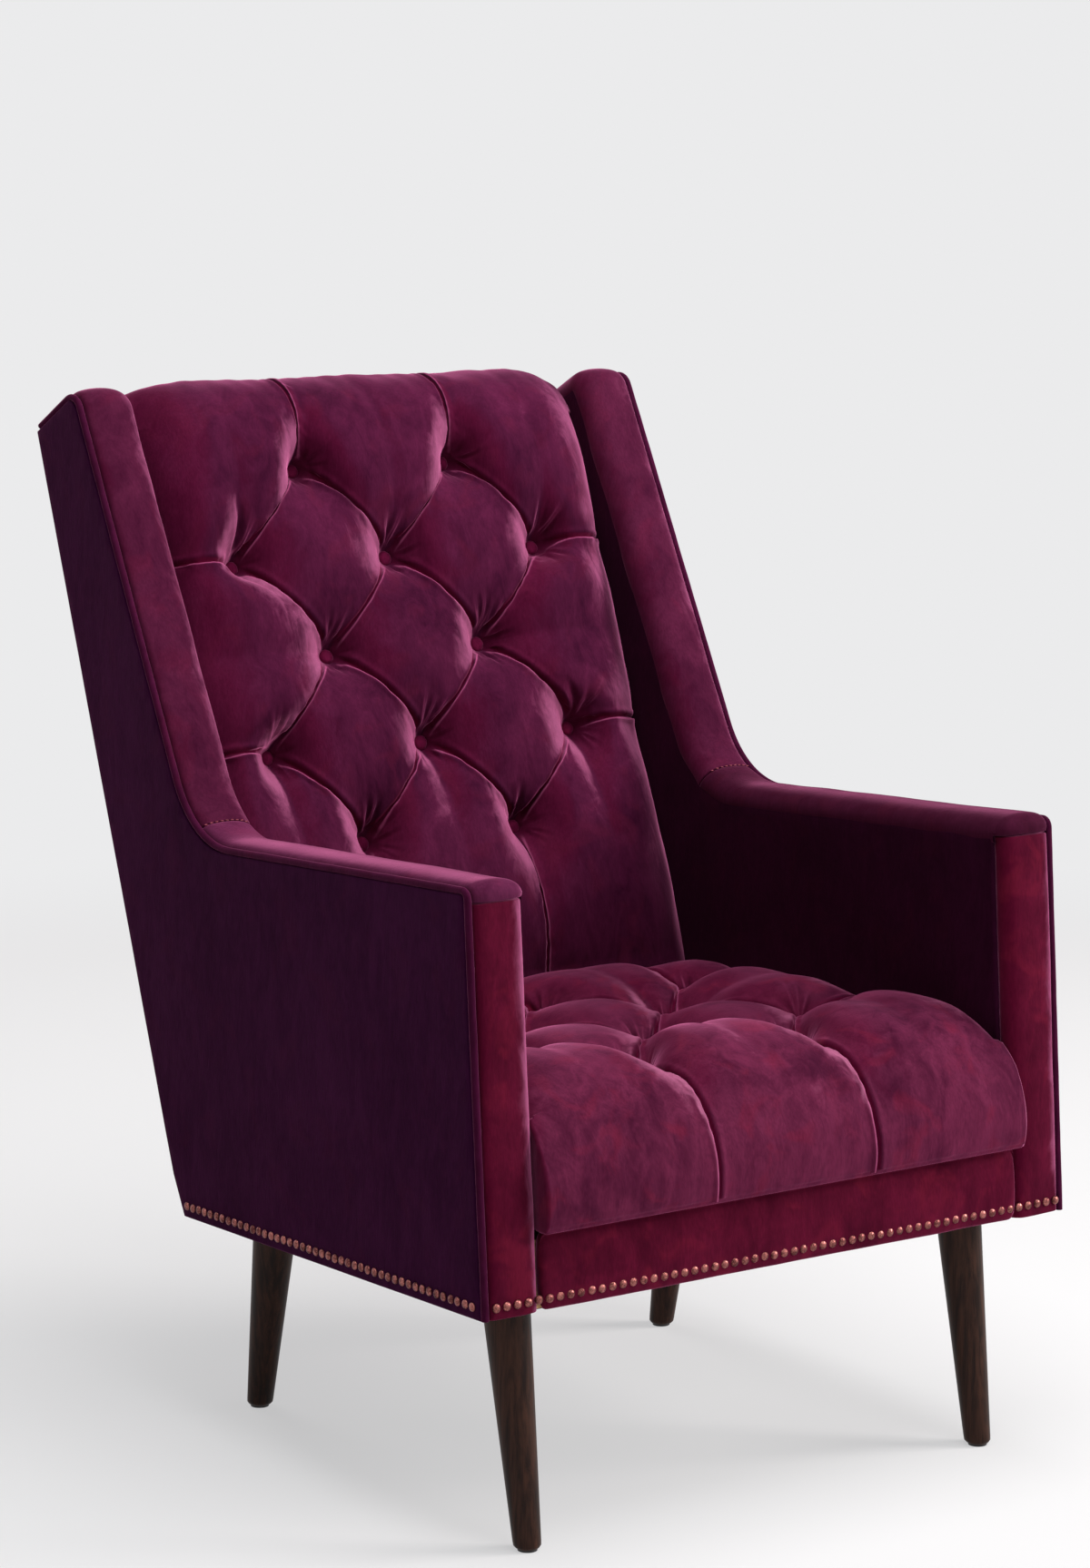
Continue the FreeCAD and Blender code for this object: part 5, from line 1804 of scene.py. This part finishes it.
@dataclass
class LowerCovers:
    """The rail cover, the outside back, the cloth below and the nail rows."""

    lines: BodyLines
    apron_section: tuple[tuple[float, float], ...] = (
        (-0.0118, 0.0), (-0.0040, 0.0004), (-0.0006, 0.0016), (0.0010, 0.0060), (0.0022, 0.0180),
        (0.0028, 0.0360), (0.0022, 0.0560), (0.0006, 0.0700), (-0.0008, 0.0738), (0.0004, 0.0752),
        (0.0014, 0.0770), (0.0006, 0.0786), (-0.0030, 0.0792), (-0.0118, 0.0788))
    apron_gap: float = 0.0006
    apron_steps: int = 56
    apron_tuck: tuple[float, float] = (0.0016, 0.010)
    back_steps: int = 46
    back_gap: float = 0.0002
    back_round: float = 0.030
    back_swell: float = 0.0012
    back_swell_size: tuple[float, float] = (0.13, 0.2)
    back_side_tuck: tuple[float, float] = (0.0018, 0.006)
    back_end_tucks: tuple[float, ...] = (0.0016, 0.0004)
    back_thickness: float = 0.0048
    cloth_steps: int = 40
    cloth_slack: float = 0.0025
    cloth_waves: float = 0.0008
    cloth_wave_size: float = 0.06
    cloth_thickness: float = 0.0006
    nail_radius: float = 0.00475
    nail_height: float = 0.002688
    nail_pitch: float = 0.0125
    nail_level: float = 0.013
    front_nails: int = 58
    nail_proud: float = 0.0008
    nail_skew: float = 0.06
    nail_drift: float = 0.0003
    side_nails: int = 45
    side_start: float = 0.020
    side_gap: float = 0.0001

    def apron(self) -> None:
        """The padded cover of the front rail, with a thin lip under the seat."""
        place = self.lines.front_frame()
        half = self.lines.band_inner - self.apron_gap
        depth, reach = self.apron_tuck
        rings = []
        for number in range(self.apron_steps + 1):
            share = number / self.apron_steps
            near = min(share, 1.0 - share) * 2.0 * half
            tuck = depth * max(0.0, 1.0 - near / reach) ** 2
            x = -half + 2.0 * half * share
            rings.append([place @ Vector((x, -proud + tuck, up)) for proud, up in self.apron_section])
        cover = loft(rings)
        soften(cover, amount=0.0009, size=0.035, seed=41.0)
        piece = as_piece(cover, "apron_cover", Finishes.front_velvet, ["front_apron"], levels=2)

    def outside_back(self) -> None:
        """The plain cover down the back."""
        lines = self.lines
        half = lines.half_width - lines.panel_depth + self.back_gap
        corners = [lines.rear.meet(lines.top), lines.rear.meet(lines.heel), lines.heel.meet(lines.base)]
        path = with_close_ends(rounded_path(corners, (self.back_round,), step=0.016))
        columns = [-half + 2.0 * half * number / self.back_steps for number in range(self.back_steps + 1)]
        across, upwards = self.back_swell_size
        side_depth, side_reach = self.back_side_tuck
        tucks = [*self.back_end_tucks, *[0.0] * (len(path) - 4), *reversed(self.back_end_tucks)]
        rings = []
        for station, tuck in zip(path, tucks):
            ring = []
            for x in columns:
                swell = noise.noise(Vector((x / across, station.point.z / upwards, 7.0)))
                side = side_depth * max(0.0, 1.0 - (half - abs(x)) / side_reach) ** 2
                proud = self.back_swell * swell - tuck - side
                ring.append(station.point + ACROSS * x - station.inward * proud)
            ring += [station.point + ACROSS * x + station.inward * self.back_thickness
                     for x in reversed(columns)]
            rings.append(ring)
        piece = as_piece(loft(rings), "outside_back_cover", Finishes.side_velvet, ["outside_back_panel"])

    def dust_cloth(self) -> None:
        """Black cloth stapled under the frame, slack by a millimetre or two."""
        lines, half = self.lines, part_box("dust_cover")[1].x
        start = lines.front.meet(lines.base, lines.band_depth, 0.0)
        end = lines.heel.meet(lines.base, lines.panel_depth, 0.0)
        steps, size = self.cloth_steps, self.cloth_wave_size
        rings = []
        for number in range(steps + 1):
            share = number / steps
            spot = start.lerp(end, share)
            ring = []
            for x in (-half + 2.0 * half * column / steps for column in range(steps + 1)):
                slack = self.cloth_slack * math.sin(math.pi * share) * math.cos(math.pi * x / (2.0 * half))
                slack += self.cloth_waves * noise.noise(Vector((x / size, spot.y / size, 3.0)))
                ring.append(spot + ACROSS * x + UP * (self.cloth_thickness - slack / 2.0))
            ring += [corner + UP * self.cloth_thickness for corner in reversed(ring)]
            rings.append(ring)
        piece = as_piece(loft(rings), "dust_cloth", Finishes.cambric, ["dust_cover"])

    def nail_row(self, name: str, places: Sequence[Vector], outward: Vector) -> None:
        """Drive domed nail heads side by side.

        Args:
            name: Where the row is.
            places: Middles of the heads.
            outward: The way that they face.
        """
        bm = bmesh.new()
        draw = random.Random(len(places))
        skew, drift = self.nail_skew, self.nail_drift
        size = Matrix.Diagonal((self.nail_radius, self.nail_radius, self.nail_height, 1.0))
        for place in places:
            aim = outward + Vector([draw.uniform(-skew, skew) for _axis in range(3)])
            turn = UP.rotation_difference(aim).to_matrix().to_4x4()
            spot = place + Vector([draw.uniform(-drift, drift) for _axis in range(3)])
            bmesh.ops.create_uvsphere(bm, u_segments=12, v_segments=6, radius=1.0,
                                      matrix=Matrix.Translation(spot) @ turn @ size)
        as_piece(bm, f"nail_heads_{name}", Finishes.copper, [f"nail_trim_{name}"])

    def nails(self) -> None:
        """Rows along the lower front and the lower sides."""
        lines = self.lines
        frame_front = lines.front_frame()
        level = self.nail_level
        first = -(self.front_nails - 1) * self.nail_pitch / 2.0
        spots = [frame_front @ Vector((first + number * self.nail_pitch, -self.nail_proud, level))
                 for number in range(self.front_nails)]
        self.nail_row("front", spots, frame_front.to_3x3() @ Vector((0.0, -1.0, 0.0)))
        seat = lines.seat_frame()
        for side in Side:
            spots = [seat @ Vector((side.value * (lines.half_width + self.side_gap),
                                    self.side_start + number * self.nail_pitch, level))
                     for number in range(self.side_nails)]
            self.nail_row(side.word, spots, ACROSS * side.value)

    def build(self) -> None:
        """Make the lower covers and their trim."""
        self.apron()
        self.outside_back()
        self.dust_cloth()
        self.nails()


@dataclass
class Leg:
    """A turned, tapered leg that leans in the side view."""

    name: str
    x: float
    run: float
    lean: float
    lines: BodyLines
    top_radius: float = 0.0245
    foot_radius: float = 0.0140
    chamfer: float = 0.0035
    foot_round: tuple[float, float] = (0.0012, 0.0018)
    glide: float = 0.0020
    levelled: float = 0.02
    sides: int = 40
    shares: tuple[float, ...] = (0.03, 0.1, 0.2, 0.3, 0.4, 0.5, 0.6, 0.7, 0.8, 0.9, 0.97, 1.0)

    def build(self) -> bpy.types.Object:
        """Turn the leg and cut it flush at both ends.

        Returns:
            The leg.
        """
        top = self.lines.seat_frame() @ Vector((self.x, self.run, 0.0))
        turn = math.radians(self.lean)
        axis = Vector((0.0, math.sin(turn), math.cos(turn)))
        foot = top - axis * ((top.z - self.glide) / axis.z)
        length = (top - foot).length
        beside = axis.cross(ACROSS)
        base = self.lines.base.normal
        up, inwards = self.foot_round
        stages = [(0.0, self.foot_radius - self.chamfer), (up, self.foot_radius - inwards),
                  (self.chamfer, self.foot_radius)]
        stages += [(length * share, self.foot_radius + (self.top_radius - self.foot_radius) * share)
                   for share in self.shares]
        rings = []
        for height, radius in stages:
            ring = []
            for number in range(self.sides):
                angle = math.tau * number / self.sides
                offset = ACROSS * (radius * math.cos(angle)) + beside * (radius * math.sin(angle))
                place = foot + axis * height + offset
                if height > length - TOUCHING:
                    place -= axis * ((place - top).dot(base) / axis.dot(base))
                elif height < self.levelled:
                    level = self.glide + height * axis.z
                    place += axis * ((level - place.z) / axis.z) * (1.0 - height / self.levelled)
                ring.append(place)
            rings.append(ring)
        return as_piece(loft(rings), f"turned_{self.name}", Finishes.leg_wood, [self.name])


@dataclass(frozen=True)
class LegPair:
    """Where a pair of legs meets the underside, and how far it leans in the side view."""

    word: str
    half_spread: float
    run: float
    lean: float

    def build(self, lines: BodyLines) -> None:
        """Make both legs."""
        for side in Side:
            Leg(f"leg_{self.word}_{side.word}", side.value * self.half_spread, self.run, self.lean,
                lines).build()


LEG_PAIRS = (LegPair("front", 0.291, 0.0805, 9.0), LegPair("rear", 0.273, HEEL_RUN - 0.032, -9.7))


@dataclass
class HiddenFrame:
    """Finishes of the nodes that stay as they are inside the covers."""

    finishes: tuple[tuple[Finish, tuple[str, ...]], ...] = (
        (Finishes.timber, ("side_rail", "arm_post", "arm_rail", "back_post", "wing_post", "front_rail",
                           "rear_rail", "back_top_rail", "back_lower_rail", "corner_blocks")),
        (Finishes.board, ("inner_board",)), (Finishes.steel, ("hanger_bolts",)),
        (Finishes.glide, ("glides",)))
    foam_round: float = 0.004
    strap_round: float = 0.0006

    def build(self) -> None:
        """Dress the hidden nodes and stand softened copies for foam and webbing."""
        for name, node in frame["nodes"].items():
            for finish, starts in self.finishes:
                if name.startswith(starts):
                    for slot in node.material_slots:
                        slot.material = FINISHES.get(finish)
        for place in ("seat", "back"):
            softened_copy(f"{place}_foam_base", f"{place}_foam", Finishes.foam, self.foam_round)
            softened_copy(f"{place}_webbing", f"{place}_straps", Finishes.webbing, self.strap_round)


@dataclass(frozen=True)
class Lamp:
    """A soft square lamp."""

    name: str
    place: tuple[float, float, float]
    aim: tuple[float, float, float]
    width: float
    power: float
    tone: tuple[float, float, float] = (1.0, 0.97, 0.96)

    def build(self) -> None:
        """Hang the lamp and turn it to its aim."""
        data = bpy.data.lights.new(self.name, "AREA")
        data.size = self.width
        data.energy = self.power
        data.color = self.tone
        lamp = linked(self.name, data)
        lamp.location = self.place
        towards = Vector(self.aim) - Vector(self.place)
        lamp.rotation_euler = towards.to_track_quat("-Z", "Y").to_euler()


@dataclass
class Studio:
    """Pale floor and backdrop, soft lights and the camera."""

    backdrop: Tone = Tone(235, 235, 236)
    location: tuple[float, float, float] = (-2.4893, -3.5901, 1.3951)
    yaw: float = 0.6049
    pitch: float = 0.1609
    roll: float = 0.0024
    lens: float = 94.25
    shift: float = 0.0042
    sensor: float = 36.0
    floor_reach: float = 14.0
    floor_color: tuple[float, float, float, float] = (0.885, 0.88, 0.884, 1.0)
    floor_glow: float = 0.62
    floor_roughness: float = 0.9
    floor_gloss: float = 0.1
    fade: tuple[float, float] = (1.3, 3.4)
    ambient: float = 0.06
    ambient_color: tuple[float, float, float, float] = (0.92, 0.86, 0.96, 1.0)
    lamps: tuple[Lamp, ...] = (
        Lamp("key", (4.35, -2.7, 2.55), (0.0, 0.0, 0.6), 2.1, 295.0, (1.0, 0.95, 0.93)),
        Lamp("fill", (0.4, -4.2, 2.4), (0.0, 0.0, 0.4), 1.8, 23.0),
        Lamp("rear", (-0.1, 3.4, 2.1), (0.0, 0.4, 0.5), 1.8, 22.0),
        Lamp("top", (0.08, -0.55, 3.5), (0.0, -0.1, 0.0), 2.6, 118.0, (1.0, 1.0, 1.0)))

    def camera(self) -> None:
        """A long lens at eye height, in front and to the left."""
        forward = Vector((math.sin(self.yaw) * math.cos(self.pitch),
                          math.cos(self.yaw) * math.cos(self.pitch), -math.sin(self.pitch)))
        right = Vector((math.cos(self.yaw), -math.sin(self.yaw), 0.0))
        up = right.cross(forward)
        turned = right * math.cos(self.roll) + up * math.sin(self.roll)
        upright = up * math.cos(self.roll) - right * math.sin(self.roll)
        data = bpy.data.cameras.new("camera")
        data.sensor_width = self.sensor
        data.lens = self.lens
        data.shift_x = self.shift
        camera = linked("camera", data)
        turn = Matrix((turned, upright, -forward)).transposed().to_4x4()
        camera.matrix_world = Matrix.Translation(self.location) @ turn
        bpy.context.scene.camera = camera

    def backdrop_rays(self, nodes: Nodes) -> bpy.types.NodeSocket:
        """1 for camera, glossy and transmission rays, which see the plain backdrop."""
        path = nodes.add("LightPath")
        seen = nodes.math("MAXIMUM", path.outputs["Is Camera Ray"], path.outputs["Is Glossy Ray"])
        return nodes.math("MAXIMUM", seen, path.outputs["Is Transmission Ray"])

    def floor(self) -> None:
        """A wide floor that fades into the backdrop away from the chair."""
        bm = bmesh.new()
        bmesh.ops.create_grid(bm, x_segments=8, y_segments=8, size=self.floor_reach)
        mesh = bpy.data.meshes.new("studio_floor")
        bm.to_mesh(mesh)
        bm.free()
        floor = linked("studio_floor", mesh)
        nodes, shader = blank_material("studio_floor")
        shader.inputs["Base Color"].default_value = self.floor_color
        shader.inputs["Roughness"].default_value = self.floor_roughness
        shader.inputs["Specular IOR Level"].default_value = self.floor_gloss
        place = nodes.add("TexCoord").outputs["Object"]
        reach = nodes.add("VectorMath", {0: place}, operation="LENGTH").outputs["Value"]
        seen = nodes.math("MULTIPLY", self.backdrop_rays(nodes), self.floor_glow)
        far = nodes.math("MAXIMUM", nodes.ramp(reach, *self.fade), seen)
        glow = nodes.add("Emission", {"Color": self.backdrop.linear(), "Strength": 1.0})
        mix = nodes.add("MixShader", {0: far, 1: shader.outputs[0], 2: glow.outputs[0]})
        output = nodes.tree.nodes["Material Output"]
        nodes.tree.links.new(mix.outputs[0], output.inputs["Surface"])
        mesh.materials.append(bpy.data.materials["studio_floor"])

    def world(self) -> None:
        """Even ambient light, with the pale backdrop for the camera and for gloss."""
        world = bpy.data.worlds.new("studio")
        bpy.context.scene.world = world
        world.use_nodes = True
        nodes = Nodes(world.node_tree)
        nodes.tree.nodes.clear()
        seen = self.backdrop_rays(nodes)
        ambient = nodes.add("Background", {"Color": self.ambient_color, "Strength": self.ambient})
        backdrop = nodes.add("Background", {"Color": self.backdrop.linear(), "Strength": 1.0})
        mix = nodes.add("MixShader", {0: seen, 1: ambient.outputs[0], 2: backdrop.outputs[0]})
        output = nodes.add("OutputWorld")
        nodes.tree.links.new(mix.outputs[0], output.inputs["Surface"])

    def build(self) -> None:
        """Set up the whole studio."""
        self.camera()
        self.floor()
        self.world()
        for lamp in self.lamps:
            lamp.build()
        bpy.context.scene.view_settings.view_transform = "Standard"


def seat_pad(lines: BodyLines) -> TuftedPad:
    """The tufted seat.

    Args:
        lines: The body's outer lines.

    Returns:
        The pad, ready to build.
    """
    return TuftedPad(
        prefix="seat", rows=4, length=0.5605, first_row=0.118, row_pitch=0.105,
        button_level=0.174, crown=0.047,
        heights={"pleat": 0.70, "side_pleat": 0.45, "side": 0.70, "end_ridge": 0.66, "end_pleat": 0.40},
        roll={"ridge": ((0.31, 1.20), (0.95, 1.29), (1.10, 0.36)),
              "pleat": ((0.18, 0.80), (0.84, 1.15), (1.15, 0.33)),
              "border": ((0.35, 0.91), (0.95, 1.31), (1.09, 0.36))},
        seam=(-0.0112, 0.0783), foot_run=0.030, under=SEAT_UNDER, frame=lines.seat_frame(),
        velvet=Finishes.seat_velvet, steepest=0.30, painted_light_flat=0.60, dimple_depth=0.0100,
        dimple_reach=0.034, button_sink=0.0080, lip_sign=-1.0, roll_length=0.235, seed=3)


def back_pad(lines: BodyLines) -> TuftedPad:
    """The tufted back.

    Args:
        lines: The body's outer lines.

    Returns:
        The pad, ready to build.
    """
    return TuftedPad(
        prefix="back", rows=5, length=0.671, first_row=0.0725, row_pitch=0.1073,
        button_level=0.076, crown=0.038,
        heights={"pleat": 0.80, "side_pleat": -0.20, "side": 0.21, "end_ridge": 0.60, "end_pleat": 0.30},
        roll={"ridge": ((0.37, 1.23), (1.05, 1.32), (1.42, 0.40)),
              "pleat": ((0.39, 1.03), (1.12, 1.18), (1.80, 0.38)),
              "border": ((0.37, 0.68), (0.95, 0.74), (1.27, 0.36))},
        seam=(-0.010, 0.0053), foot_run=0.0127, under=BACK_UNDER, frame=lines.back_frame(),
        velvet=Finishes.back_velvet, tail=0.026, front_half=0.2977, lip_sign=1.0, roll_length=0.170,
        seed=8)


def main() -> None:
    """Build the chair, its stage and its camera."""
    logging.basicConfig(level=logging.INFO, format="%(asctime)s %(name)s %(message)s")
    lines = BodyLines()
    Studio().build()
    for pad in (seat_pad(lines), back_pad(lines)):
        pad.build()
        pad.build_buttons()
    for side, seed in ((Side.LEFT, 1.0), (Side.RIGHT, 2.3)):
        SideCovers(side, lines, seed).build()
    LowerCovers(lines).build()
    for pair in LEG_PAIRS:
        pair.build(lines)
    HiddenFrame().build()


if __name__ == "__main__":
    main()
